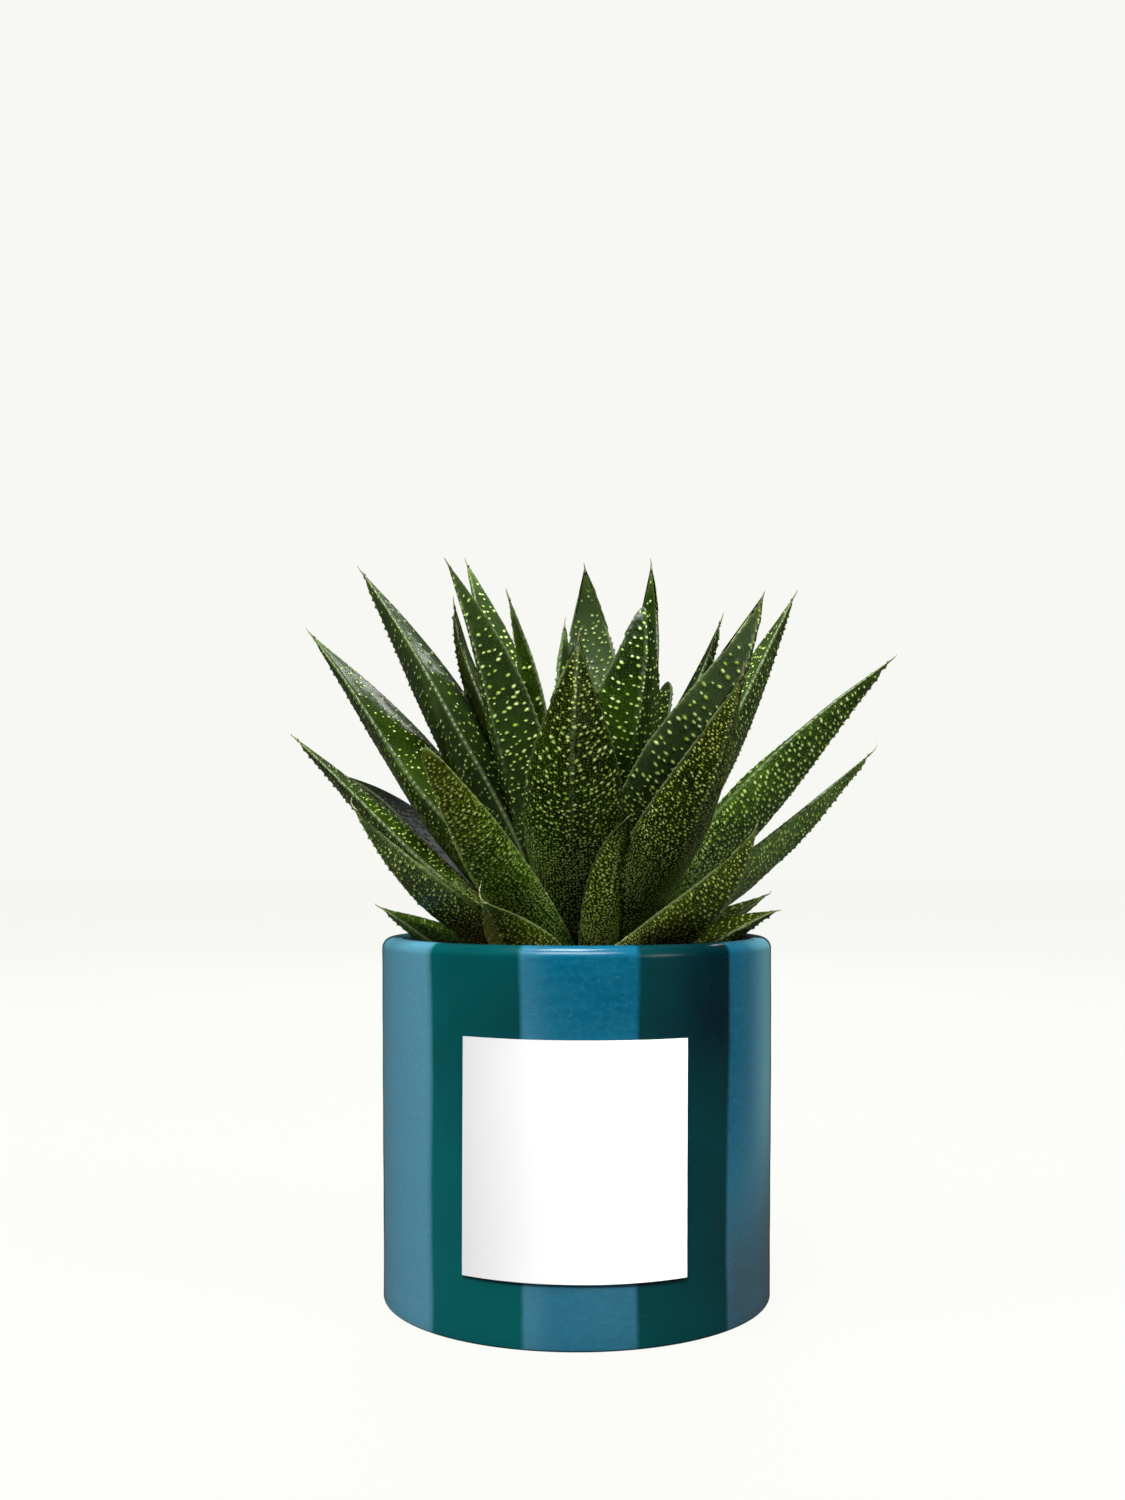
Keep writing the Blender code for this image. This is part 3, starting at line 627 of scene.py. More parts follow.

# How each leaf looks, where it differs from its ring.
# olive, fresh, painted_sheen: how far the green has turned to olive, is young and bright, or is greyed by a painted
# sheen, a painted reflection rather than wax, at the foot, the middle and the tip; rust_and_shade: a red-brown flank
# on one side (-1 or 1), which on leaf 17 is painted shade
# size, crowd: of the spots on the back; up: size, crowd and tallness of those on the upper face
# awn: length of the dry point and the way it curls (sideways, upward); blunt: how far the tip is
# rounded off; convex: rise of the middle of the upper face, as a share of half the width
# fine: 1 where the spots are fine and crowded and stand in rows; dash: how much fine dotting there is between the
# spots; keel: where the keel's teeth start; line: how strong the pale painted highlight along the keel's crest is;
# hook: how far the dry point turns up; sown_and_shade: how full of dashes the foot is, fewer where the foot is drawn
# in painted shade; straw: how pale the dry point is; tone_and_painted_light, gloss: of the skin, the first being the
# leaf's own tone together with painted light and shade, darkest at the feet of the inner leaves
LOOKS = {
    1: dict(olive=(0.2, 0.35, 0.55), fresh=(0.3, 0.0, 0.0), size=0.72, crowd=1.4, fine=1.0,
            awn=(1.2, 0.2, 0.3), tone_and_painted_light=(0.40, 0.45, 0.55), gloss=0.1),
    2: dict(olive=(0.3, 0.4, 0.4), size=0.60, crowd=1.1, fine=0.8, rust_and_shade=(-1, -0.3, 1.0),
            awn=(4.4, -0.8, 4.2), straw=1.0, tone_and_painted_light=1.5, hook=0.85),
    3: dict(olive=0.15, fresh=0.35, size=0.60, crowd=1.1, awn=(2.0, -0.3, 0.5), tone_and_painted_light=1.5),
    4: dict(olive=0.60, fresh=0.05, size=0.75, crowd=1.5, awn=(1.2, 0.1, 0.0), tone_and_painted_light=1.15),
    5: dict(olive=0.50, size=0.72, crowd=1.0, awn=(1.8, 0.3, 1.0), tone_and_painted_light=1.4),
    9: dict(olive=(0.6, 0.55, 0.45), size=0.80, crowd=1.35, fine=1.0, painted_sheen=0.10,
            awn=(1.4, -0.3, 0.6), tone_and_painted_light=(1.0, 1.0, 0.9), gloss=0.2),
    10: dict(olive=(0.8, 0.45, 0.15), size=0.84, crowd=1.15, fine=0.7, convex=0.28, rust_and_shade=(-1, 0.4, 0.7),
             up=(0.80, 1.15, 1.4), awn=(4.2, 1.4, 3.4), straw=0.9, tone_and_painted_light=1.15, hook=0.7, painted_sheen=(0.0, 0.15, 0.5), gloss=0.8),
    13: dict(olive=0.10, size=0.85, crowd=1.2, convex=0.22, up=(0.80, 0.95, 1.2), awn=(1.2, -0.2, 0.3),
             straw=0.5, keel=0.30, line=0.8, gloss=0.7, tone_and_painted_light=(0.30, 0.8, 1.1), dim=0.25),
    14: dict(olive=0.15, fresh=0.25, size=0.92, crowd=1.5, fine=0.6, convex=0.10, painted_sheen=0.3,
             up=(0.8, 1.2, 1.3), awn=(2.6, 0.2, 1.2), tone_and_painted_light=(1.8, 2.4, 2.1), gloss=0.5),
    # leaf 16 lies in shade between its neighbours: drawn nearly black with its spots hidden, as painted shade
    16: dict(olive=0.10, size=0.80, crowd=0.7, dim=0.9, awn=(0.8, 0.0, 0.0), tone_and_painted_light=0.12, gloss=0.0),
    # leaf 17: its brown left flank is painted shade
    17: dict(olive=(0.0, 0.15, 0.75), fresh=(1.0, 1.0, 0.4), size=0.95, crowd=1.7, fine=0.8,
             rust_and_shade=(-1, 0.65, 0.55), awn=(0.6, 0.0, 0.2), blunt=0.08, tone_and_painted_light=(1.2, 1.2, 1.6), gloss=0.3, up=(0.9, 1.0, 1.25), dash=1.0),
    18: dict(olive=(0.2, 0.30, 0.55), size=0.70, crowd=1.5, fine=1.0, awn=(3.0, 0.3, 1.6), straw=0.15,
             tone_and_painted_light=(0.34, 0.42, 0.46), gloss=0.1),
    21: dict(olive=(0.0, 0.05, 0.25), size=0.92, crowd=1.0, fine=1.0, awn=(4.2, 1.8, 0.4), straw=0.15,
             tone_and_painted_light=(0.32, 0.40, 0.30), gloss=0.2, patch=0.12, keel=0.80),
    22: dict(olive=0.08, fresh=(0.8, 0.55, 0.2), size=1.10, crowd=1.9, convex=0.22,
             up=(1.0, 1.2, 1.4), awn=(1.6, 0.0, 0.4), tone_and_painted_light=(1.6, 1.35, 1.2), line=0.5, gloss=0.8, painted_sheen=0.12),
    23: dict(olive=0.12, fresh=0.12, size=0.80, crowd=1.1, convex=0.28, dim=0.25, up=(0.85, 0.75, 1.2),
             awn=(1.8, -0.3, 0.3), straw=0.3, tone_and_painted_light=(0.3, 1.0, 1.1), gloss=0.7, keel=0.30, line=0.9, sown_and_shade=0.5),
    24: dict(olive=0.25, size=0.85, crowd=1.3, dim=0.1, awn=(0.0, 0.0, 0.0), blunt=0.12, patch=0.0,
             up=(0.85, 1.3, 1.2), tone_and_painted_light=0.8),
    25: dict(olive=0.15, fresh=0.20, size=0.90, crowd=1.4, painted_sheen=0.2, convex=0.12, up=(0.9, 1.3, 1.5), keel=0.30, line=0.4),
    26: dict(olive=0.10, fresh=0.15, size=0.95, crowd=1.0, convex=0.20, patch=0.25, dim=0.30,
             up=(1.00, 0.80, 1.4), awn=(2.0, -0.5, 0.2), tone_and_painted_light=(0.15, 0.55, 1.0), gloss=0.5, keel=0.30, line=1.3, sown_and_shade=0.3, painted_sheen=(0.0, 0.15, 0.25)),
    27: dict(fresh=0.15, crowd=1.2, up=(0.9, 1.2, 1.4), line=0.6, tone_and_painted_light=(0.25, 0.8, 1.0), sown_and_shade=0.3, painted_sheen=(0.0, 0.10, 0.20)),
    28: dict(olive=0.08, fresh=0.15, size=0.95, crowd=1.35, convex=0.06, up=(0.95, 1.3, 1.3),
             tone_and_painted_light=(0.20, 0.8, 1.2), sown_and_shade=0.3, painted_sheen=(0.0, 0.15, 0.25)),
    29: dict(olive=0.05, fresh=0.05, size=1.15, crowd=1.45, painted_sheen=(0.0, 0.3, 0.6), patch=0.25,
             awn=(1.2, 0.2, 0.2), tone_and_painted_light=(0.30, 0.6, 0.80), line=1.0, up=(1.05, 1.90, 1.1), sown_and_shade=0.5),
    30: dict(size=0.85, crowd=1.3, tone_and_painted_light=0.5, sown_and_shade=0.4),
    31: dict(olive=0.35, size=0.80, crowd=0.9, dim=0.7, gloss=0.2, sown_and_shade=0.4, tone_and_painted_light=0.5),
    33: dict(olive=0.0, fresh=0.25, size=0.92, crowd=1.35, awn=(0.0, 0.0, 0.0), blunt=0.06, patch=0.15,
             rows=1.35, tone_and_painted_light=(0.30, 0.7, 0.85), up=(1.30, 1.50, 1.35), sown_and_shade=0.4, gloss=0.8),
    34: dict(olive=0.05, size=0.90, crowd=1.2, dim=0.45, painted_sheen=0.35, awn=(1.4, 0.2, 0.0), gloss=0.2, up=(0.85, 1.6, 1.1), tone_and_painted_light=0.8),
}


def width_share(t):
    s = (1.0 - t) / (1.0 - WIDEST)
    taper = np.sin(0.5 * np.pi * np.clip(s, 0.0, 1.0)) ** 1.1
    foot = 1.0 - (1.0 - FOOT_SHARE) * (np.clip(WIDEST - t, 0.0, 1.0) / WIDEST) ** 1.6
    return np.where(s < 1.0, taper, foot)


def depth_share(t):
    s = (1.0 - t) / 0.6
    taper = np.sin(0.5 * np.pi * np.clip(s, 0.0, 1.0)) ** 0.9
    foot = 1.0 - 0.35 * (np.clip(0.4 - t, 0.0, 1.0) / 0.4) ** 1.5
    return np.where(s < 1.0, taper, foot)


# spots on a finely marked leaf, at STATIONS along it: half length across and along, pitch in a
# row, and row spacing as a share of the pitch
STATIONS = (0.0, 0.25, 0.35, 0.45, 0.55, 0.65, 0.75, 0.85, 1.0)
FINE_ACROSS = (0.20, 0.22, 0.30, 0.43, 0.57, 0.62, 0.58, 0.44, 0.29)
FINE_UPWARD = (0.11, 0.12, 0.16, 0.23, 0.29, 0.32, 0.30, 0.25, 0.18)
FINE_PITCH = (0.60, 0.60, 0.70, 0.88, 1.04, 1.10, 1.05, 0.86, 0.76)
FINE_ROWS = (0.85, 0.86, 0.95, 1.05, 1.16, 1.22, 1.18, 1.05, 1.00)


def profile(u, fine, broad, close):
    return lerp(float(np.interp(u, (0.0, 0.25, 0.5, 0.75, 1.0), broad)),
                float(np.interp(u, STATIONS, close)), fine)


def unit(v):
    return v / np.maximum(1e-12, np.linalg.norm(v, axis=-1, keepdims=True))


class Leaf:
    """One leaf as two smooth faces, upper and back, over a curved middle line."""

    SAMPLES = 201

    def __init__(self, number, row):
        turn, foot, reach, tip, lift_a, lift_b, wide, thick, bend, roll = row
        self.number = number
        self.rng = random.Random(1000 + 17 * number)
        ring = 0 if number <= 8 else 1 if number <= 16 else 2 if number <= 25 else 3
        look = dict(
            olive=(0.40, 0.22, 0.12, 0.05)[ring],
            size=(0.75, 0.85, 0.95, 1.08)[ring],
            crowd=(1.05, 1.05, 1.05, 1.10)[ring],
            patch=(0.05, 0.08, 0.15, 0.28)[ring],
            rows=(0.95, 0.95, 1.0, 1.25)[ring],
            awn=(1.8, self.rng.uniform(-0.5, 0.5), self.rng.uniform(0.0, 0.8)),
            blunt=0.0, fresh=0.08, painted_sheen=0.0, rust_and_shade=(0, 0.0, 0.0), dim=0.0, up=(0.90, 1.0, 1.25),
            gloss=(0.3, 0.5, 0.6, 0.7)[ring],
            # inner leaves drawn darker toward the foot, as painted shade
            tone_and_painted_light=(1.0, 1.0, (0.8, 1.0, 1.0), (0.40, 0.85, 1.0))[ring],
            convex=(0.0, 0.08, 0.06, -0.06)[ring],
            fine=0.0, keel=0.58, line=0.0, hook=0.25, sown_and_shade=1.0, straw=0.25, dash=(0.75, 0.65, 0.50, 0.25)[ring],
        )
        look.update(LOOKS.get(number, {}))
        self.look = look
        t = self.t = np.linspace(0.0, 1.0, self.SAMPLES)
        turn, lift_a, lift_b = math.radians(turn), math.radians(lift_a), math.radians(lift_b)
        out = np.array((math.sin(turn), -math.cos(turn), 0.0))
        across = np.array((math.cos(turn), math.sin(turn), 0.0))
        up = np.array((0.0, 0.0, 1.0))
        stem = lerp(STEM_LOW_RADIUS, STEM_TOP_RADIUS,
                    min(1.0, max(0.0, (foot - SOIL_TOP) / (STEM_TOP - SOIL_TOP))))
        root = CROWN_RADIUS if foot > STEM_TOP else stem + GAP
        a = out * root + up * foot
        d = out * reach + up * tip
        handle = 0.36 * np.linalg.norm(d - a)
        b = a + (out * math.cos(lift_a) + up * math.sin(lift_a)) * handle
        c = d - (out * math.cos(lift_b) + up * math.sin(lift_b)) * handle
        T, U = t[:, None], 1.0 - t[:, None]
        centre = a * U**3 + b * (3 * U * U * T) + c * (3 * U * T * T) + d * T**3
        along = (b - a) * (3 * U * U) + (c - b) * (6 * U * T) + (d - c) * (3 * T * T)
        centre = centre + across * (bend * T * T)
        along = unit(along + across * (2 * bend * T))
        side = unit(across - along * (along @ across)[:, None])
        normal = np.cross(side, along)
        flip = np.where(normal @ (up - out) < 0, -1.0, 1.0)[:, None]
        normal = normal * flip
        twist = np.radians(roll) * np.minimum(1.0, 2.0 * T)
        self.side = side * np.cos(twist) + normal * np.sin(twist)
        self.normal = normal * np.cos(twist) - side * np.sin(twist)
        self.centre, self.along = centre, along
        self.out, self.up = out, up
        step = np.linalg.norm(np.diff(centre, axis=0), axis=1)
        self.arc = np.concatenate([[0.0], np.cumsum(step)])
        self.length = self.arc[-1]
        blunt = look["blunt"]
        end = np.sqrt(np.clip(1.0 - (np.clip(t - 0.955, 0, 1) / 0.045) ** 2, 0.0, 1.0))
        shrink = end if blunt else 1.0
        self.half = 0.5 * wide * width_share(t * (1.0 - blunt)) * shrink
        self.deep = thick * depth_share(t * (1.0 - blunt)) * shrink
        self.keel = np.clip((t - 0.15) / 0.55, 0.0, 1.0)
        self.round = np.minimum(0.45, np.minimum(0.26 * self.half, 0.26 * self.deep))
        flat = smooth(0.50, 0.97, t) if look["convex"] > 0.1 else smooth(0.45, 0.95, t)
        self.hollow = look["convex"] * self.half * (1.0 - flat) * smooth(0.0, 0.2, t)
        self.ridge = 0.12 * np.minimum(1.0, self.half / 3.0)
        self.rim = self.ridge - self.round
        self.wave = [
            (self.rng.uniform(0.12, 0.35), self.rng.uniform(0.2, 0.6), self.rng.uniform(0, 6.3))
            for _ in range(5)
        ]
        # arc length across the back, from the keel to the margin, for each t
        theta = np.linspace(0.0, 0.5 * math.pi, 61)
        xi = np.sin(theta)
        x = self.half[:, None] * xi[None]
        y = self.back_height(self.keel[:, None], self.deep[:, None], self.rim[:, None], xi[None])
        run = np.concatenate(
            [np.zeros((len(t), 1)), np.cumsum(np.hypot(np.diff(x, axis=1), np.diff(y, axis=1)), axis=1)],
            axis=1,
        )
        self.back_width = run[:, -1]
        share = np.linspace(0.0, 1.0, 49)
        self.theta = np.array(
            [np.interp(share, r / max(r[-1], 1e-9), theta) for r in run]
        )

    @staticmethod
    def back_height(keel, deep, rim, xi):
        """Height of the back under the upper face: round near the foot, a keel near the tip."""
        e = 0.07
        soft = (np.sqrt(xi * xi + e * e) - e * (1 - xi)).clip(0.0, 1.0)
        folded = (1.0 - soft).clip(0.0, 1.0) ** 0.72
        rounded = np.sqrt((1.0 - xi * xi).clip(0.0, 1.0))
        return rim - (deep + rim) * (keel * folded + (1.0 - keel) * rounded)

    def at(self, table, t):
        if table.ndim == 1:
            return np.interp(t, self.t, table)
        return np.stack([np.interp(t, self.t, table[:, i]) for i in range(table.shape[1])], axis=1)

    def t_of(self, s):
        return np.interp(s, self.arc, self.t)

    def width(self, face, t):
        """Half the developed width of a face."""
        return self.at(self.half if face == "upper" else self.back_width, t)

    def section(self, face, t, q):
        """(sideways, upward) on a face, from t and the developed distance q off its middle."""
        half, rim = self.at(self.half, t), self.at(self.rim, t)
        if face == "upper":
            rad, ridge = self.at(self.round, t), self.at(self.ridge, t)
            hollow = self.at(self.hollow, t)
            d = np.minimum(np.abs(q), half)
            y = hollow * (1.0 - (d / np.maximum(half, 1e-6)) ** 2)
            near = np.minimum(d, half - rad)
            y = y + ridge * np.exp(-(((half - rad - near) / 0.7) ** 2))
            over = np.clip(d - (half - rad), 0.0, rad)
            y = y - (rad - np.sqrt(np.maximum(0.0, rad * rad - over * over)))
            return np.sign(q) * d, y
        share = np.clip(np.abs(q) / np.maximum(self.at(self.back_width, t), 1e-6), 0.0, 1.0)
        row = np.clip(t, 0, 1) * (self.SAMPLES - 1)
        col = share * (self.theta.shape[1] - 1)
        r0 = np.clip(row.astype(int), 0, self.SAMPLES - 2)
        c0 = np.clip(col.astype(int), 0, self.theta.shape[1] - 2)
        fr, fc = row - r0, col - c0
        theta = (
            self.theta[r0, c0] * (1 - fr) * (1 - fc) + self.theta[r0 + 1, c0] * fr * (1 - fc)
            + self.theta[r0, c0 + 1] * (1 - fr) * fc + self.theta[r0 + 1, c0 + 1] * fr * fc
        )
        xi = np.sin(theta)
        y = self.back_height(self.at(self.keel, t), self.at(self.deep, t), rim, xi)
        return np.sign(q) * half * xi, y

    def place(self, face, s, q, tooth=None):
        """Points in space from developed coordinates."""
        t = self.t_of(s)
        x, y = self.section(face, t, q)
        if tooth is not None:
            x = x + tooth
        return self.at(self.centre, t) + self.at(self.side, t) * x[:, None] + self.at(self.normal, t) * y[:, None]

    def normals(self, face, s, q):
        h = 0.12
        w = self.width(face, self.t_of(s)) - 0.02
        q0, q1 = np.clip(q - h, -w, w), np.clip(q + h, -w, w)
        s0, s1 = np.clip(s - h, 0, self.length), np.clip(s + h, 0, self.length)
        n = np.cross(self.place(face, s1, q) - self.place(face, s0, q),
                     self.place(face, s, q1) - self.place(face, s, q0))
        n = unit(n)
        facing = self.at(self.normal, self.t_of(s)) * (1.0 if face == "upper" else -1.0)
        return n * np.where((n * facing).sum(axis=1) < 0, -1.0, 1.0)[:, None]

    def uneven(self, s, q):
        """The skin isn't true: slow, shallow dents."""
        h = np.zeros_like(s)
        for f, g, p in self.wave:
            h += 0.035 * np.sin(f * s + p + 0.8 * np.sin(g * q + p)) * np.cos(g * q + 2 * p)
        return h

    # ------------------------------------------------ spots
    def spots(self, face):
        """Rows of spots that bow towards the tip at the margins: small, crowded and stretched
        across at the foot, larger and farther apart from the middle on, few at the tip.
        Each is (s, q, half length across, half length along, turn, height, paleness)."""
        rng, look = self.rng, self.look
        grow_up, crowd_up, tall = look["up"] if face == "upper" else (1.0, 1.0, 1.0)
        crowd = look["crowd"] if face == "back" else crowd_up
        size = look["size"] * grow_up
        found = []
        cells = {}
        clear = 0.10
        phase = [(rng.uniform(0.25, 0.8), rng.uniform(0.25, 0.9), rng.uniform(0, 6.3)) for _ in range(4)]

        def patchy(s, q):
            return 0.5 + 0.25 * sum(math.sin(f * s + p) * math.cos(g * q + 2 * p) for f, g, p in phase)

        def room(s, q, a, b):
            """True if no spot is in the way, and keeps the place."""
            i, j = int(s // 1.5), int((q + 60) // 1.5)
            for di in (-1, 0, 1):
                for dj in (-1, 0, 1):
                    for s2, q2, a2, b2 in cells.get((i + di, j + dj), ()):
                        if ((s - s2) / (b + b2 + clear)) ** 2 + ((q - q2) / (a + a2 + clear)) ** 2 < 1.0:
                            return False
            cells.setdefault((i, j), []).append((s, q, a, b))
            return True

        s = (0.17 + 0.10 * look["fine"]) * self.length
        while s < 0.975 * self.length:
            u = s / self.length
            fine = look["fine"] if face == "back" else 0.0
            across = size * profile(u, fine, (0.32, 0.42, 0.56, 0.54, 0.36), FINE_ACROSS)
            upward = tall * size * profile(u, fine, (0.14, 0.20, 0.31, 0.34, 0.26), FINE_UPWARD)
            pitch = profile(u, fine, (0.95, 1.02, 1.26, 1.38, 1.25), FINE_PITCH) / crowd
            pitch *= 0.35 + 0.65 * size / 0.9
            step = profile(u, fine, (0.80, 0.95, 1.30, 1.45, 1.25), FINE_ROWS)
            w = float(self.width(face, u))
            bow = 0.20 + 0.12 * fine
            likely = float(np.interp(u, (0.0, 0.22, 0.6, 0.85, 1.0), (0.80, 0.92, 0.88, 0.75, 0.65)))
            q = -w + rng.uniform(0.3, pitch)
            while q < w - 0.3:
                sway = 0.30 * pitch * math.sin(0.9 * q + 1.7 * s)
                at_s = s + bow * w * (q / w) ** 2 + sway + rng.gauss(0.0, 0.10 * pitch)
                at_q = q + rng.gauss(0.0, 0.20 * pitch)
                chance = likely * (1.0 - look["patch"] * 2.2 * (1.0 - patchy(at_s, at_q)))
                grow = rng.uniform(0.66, 1.22)
                a, b = across * grow, upward * grow * rng.uniform(0.85, 1.15)
                limit = float(self.width(face, self.t_of(min(at_s, self.length))))
                inside = abs(at_q) < limit - a - 0.30 and 0.3 < at_s < 0.98 * self.length
                if rng.random() < chance and inside and room(at_s, at_q, a, b):
                    slant = math.atan(2.0 * bow * q / w)
                    found.append((at_s, at_q, a, b, slant + rng.gauss(0.0, 0.20), 0.40 * b, rng.random()))
                q += pitch * rng.uniform(0.80, 1.18)
            s += pitch * look["rows"] * step
        if face == "back":  # the keel's own teeth, on the upper part of the leaf
            s = look["keel"] * self.length
            while s < 0.95 * self.length:
                u = s / self.length
                a, b = 0.22 + 0.06 * rng.random(), 0.32 + 0.10 * rng.random()
                high = rng.uniform(0.20, 0.50) * float(smooth(0.25, 0.5, u))
                found.append((s, rng.gauss(0, 0.08), a, b, 0.0, high, 0.6 + 0.4 * rng.random()))
                s += rng.uniform(1.1, 2.2)
        return found

    # ------------------------------------------------ mesh
    def build(self, material, outer):
        rng = self.rng
        # margin: a fine line of points, the same for both faces, with small teeth
        count = max(30, int(self.length / 0.42))
        margin_s = np.linspace(0.0, self.length, count + 1)[:-1]
        tooth = {}
        for hand in (-1, 1):
            row = np.zeros(count)
            i = int(0.15 * count)
            while i < count - 3:
                t = i / count
                row[i] = rng.uniform(0.18, 0.50) * float(smooth(0.12, 0.35, t)) * float(1 - smooth(0.93, 1.0, t))
                i += rng.choice((3, 3, 4, 4, 5, 6))
            tooth[hand] = row
        points, spot, pale, edge, upper, along, off, crest_highlight_at = [], [], [], [], [], [], [], []
        faces = []

        def extend(xyz, **values):
            first = len(points)
            points.extend(xyz.tolist())
            spot.extend(values["spot"])
            pale.extend(values["pale"])
            edge.extend(values["edge"])
            upper.extend(values["upper"])
            along.extend(values["along"])
            off.extend(values["off"])
            crest_highlight_at.extend(values.get("crest", [0.0] * len(values["off"])))
            return first

        ids = {}
        t_margin = self.t_of(margin_s)
        for hand in (-1, 1):
            half = self.at(self.half, t_margin)
            x = hand * (half + tooth[hand])
            y = self.at(self.rim, t_margin)
            xyz = self.at(self.centre, t_margin) + self.at(self.side, t_margin) * x[:, None]
            xyz = xyz + self.at(self.normal, t_margin) * y[:, None]
            first = extend(
                xyz, spot=(tooth[hand] * 1.2).tolist(), pale=[0.7] * count, edge=[1.0] * count,
                upper=[0.5] * count, along=t_margin.tolist(), off=(hand * half).tolist(),
            )
            ids[hand] = list(range(first, first + count))
        tip = extend(
            self.centre[-1:], spot=[0.0], pale=[0.5], edge=[0.6], upper=[0.5], along=[1.0], off=[0.0]
        )

        for face in ("upper", "back"):
            width = self.width(face, t_margin)
            inside_s, inside_q, inside_h, inside_spot, inside_pale = [], [], [], [], []

            def add(s, q, h=0.0, sp=0.0, pa=0.5):
                inside_s.append(s)
                inside_q.append(q)
                inside_h.append(h)
                inside_spot.append(sp)
                inside_pale.append(pa)

            # rows beside the margin, for its rounded edge
            rounded = self.at(self.round, t_margin)
            for i in range(1, count):
                w = width[i]
                for back_off in (0.35, 1.0, 2.1):
                    inset = back_off * max(rounded[i], 0.08)
                    if w > inset + 0.15 and (back_off < 2 or i % 2 == 0):
                        add(margin_s[i], w - inset)
                        add(margin_s[i], -w + inset)
            found = self.spots(face)
            rows = np.array([f[:4] for f in found]) if found else np.zeros((0, 4))
            for s, q, a, b, spin, high, white in found:
                small = a < 0.40
                sides = 7 if a > 0.52 else 6 if a > 0.30 else 5
                add(s, q, high, 1.35, white)
                turn0 = rng.uniform(0, 1)
                lap = ((1.50, 0.0, 0.0),) if small else ((0.70, 0.76 * high, 0.66), (1.25, 0.0, 0.0))
                for ratio, h, value in lap:
                    for k in range(sides):
                        ang = math.tau * (k + turn0) / sides
                        dq, ds = a * ratio * math.cos(ang), b * ratio * math.sin(ang)
                        dq, ds = (dq * math.cos(spin) - ds * math.sin(spin),
                                  dq * math.sin(spin) + ds * math.cos(spin))
                        add(s + ds, q + dq, h, value, white)
            # plain skin between them
            spacing = 1.25
            grid = []
            k = 1
            while k * spacing * 0.87 < self.length - 0.6:
                s = k * spacing * 0.87
                w = float(self.width(face, float(self.t_of(s))))
                n = int(w / spacing) + 1
                for j in range(-n, n + 1):
                    q = (j + (0.5 if k % 2 else 0.0)) * spacing
                    if abs(q) < w - 0.75:
                        grid.append((s, q))
                if face == "back" and k % 2 == 0:
                    grid.append((s, 0.0))
                k += 1
            grid = np.array(grid)
            if len(rows) and len(grid):
                near = (
                    ((grid[:, None, 0] - rows[None, :, 0]) / (rows[None, :, 3] * 1.22 + 0.35)) ** 2
                    + ((grid[:, None, 1] - rows[None, :, 1]) / (rows[None, :, 2] * 1.22 + 0.35)) ** 2
                ).min(axis=1)
                grid = grid[near > 1.0]
            for s, q in grid:
                add(s, q)
            s_in, q_in = np.array(inside_s), np.array(inside_q)
            limit = self.width(face, self.t_of(np.clip(s_in, 0, self.length)))
            keep = (np.abs(q_in) < limit - 0.02) & (s_in > 0.05) & (s_in < self.length - 0.05)
            s_in, q_in = s_in[keep], q_in[keep]
            h_in = np.array(inside_h)[keep]
            sp_in = np.array(inside_spot)[keep]
            pa_in = np.array(inside_pale)[keep]
            # foot edge, between the two margins
            w0 = width[0]
            feet = np.linspace(-w0, w0, 13)[1:-1]
            s_all = np.concatenate([s_in, np.zeros(len(feet))])
            q_all = np.concatenate([q_in, feet])
            h_all = np.concatenate([h_in, np.zeros(len(feet))]) + self.uneven(s_all, q_all) * smooth(
                0.0, 1.5, self.width(face, self.t_of(s_all)) - np.abs(q_all)
            )
            sp_all = np.concatenate([sp_in, np.zeros(len(feet))])
            pa_all = np.concatenate([pa_in, np.full(len(feet), 0.5)])
            t_all = self.t_of(s_all)
            gap = self.width(face, t_all) - np.abs(q_all)
            hand_tooth = np.where(
                q_all > 0, np.interp(s_all, margin_s, tooth[1]), -np.interp(s_all, margin_s, tooth[-1])
            )
            pull = hand_tooth * np.clip(1.0 - gap / 0.55, 0.0, 1.0) ** 1.5
            xyz = self.place(face, s_all, q_all, pull) + self.normals(face, s_all, q_all) * h_all[:, None]
            near_edge = np.clip(1.0 - gap / 0.55, 0.0, 1.0) ** 1.5
            if face == "back":
                crest = np.clip(1.0 - np.abs(q_all) / 0.6, 0.0, 1.0) * smooth(0.3, 0.7, t_all) * 0.6
                near_edge = np.maximum(near_edge, crest)
            first = extend(
                xyz, spot=sp_all.tolist(), pale=pa_all.tolist(), edge=near_edge.tolist(),
                upper=[1.0 if face == "upper" else 0.0] * len(s_all), along=t_all.tolist(),
                off=q_all.tolist(), crest=(
                    np.clip(1.0 - np.abs(q_all) / 0.5, 0.0, 1.0) * smooth(0.25, 0.5, t_all)
                    * (1.0 if face == "back" else 0.0)
                ).tolist(),
            )
            foot_ids = list(range(first + len(s_in), first + len(s_all)))
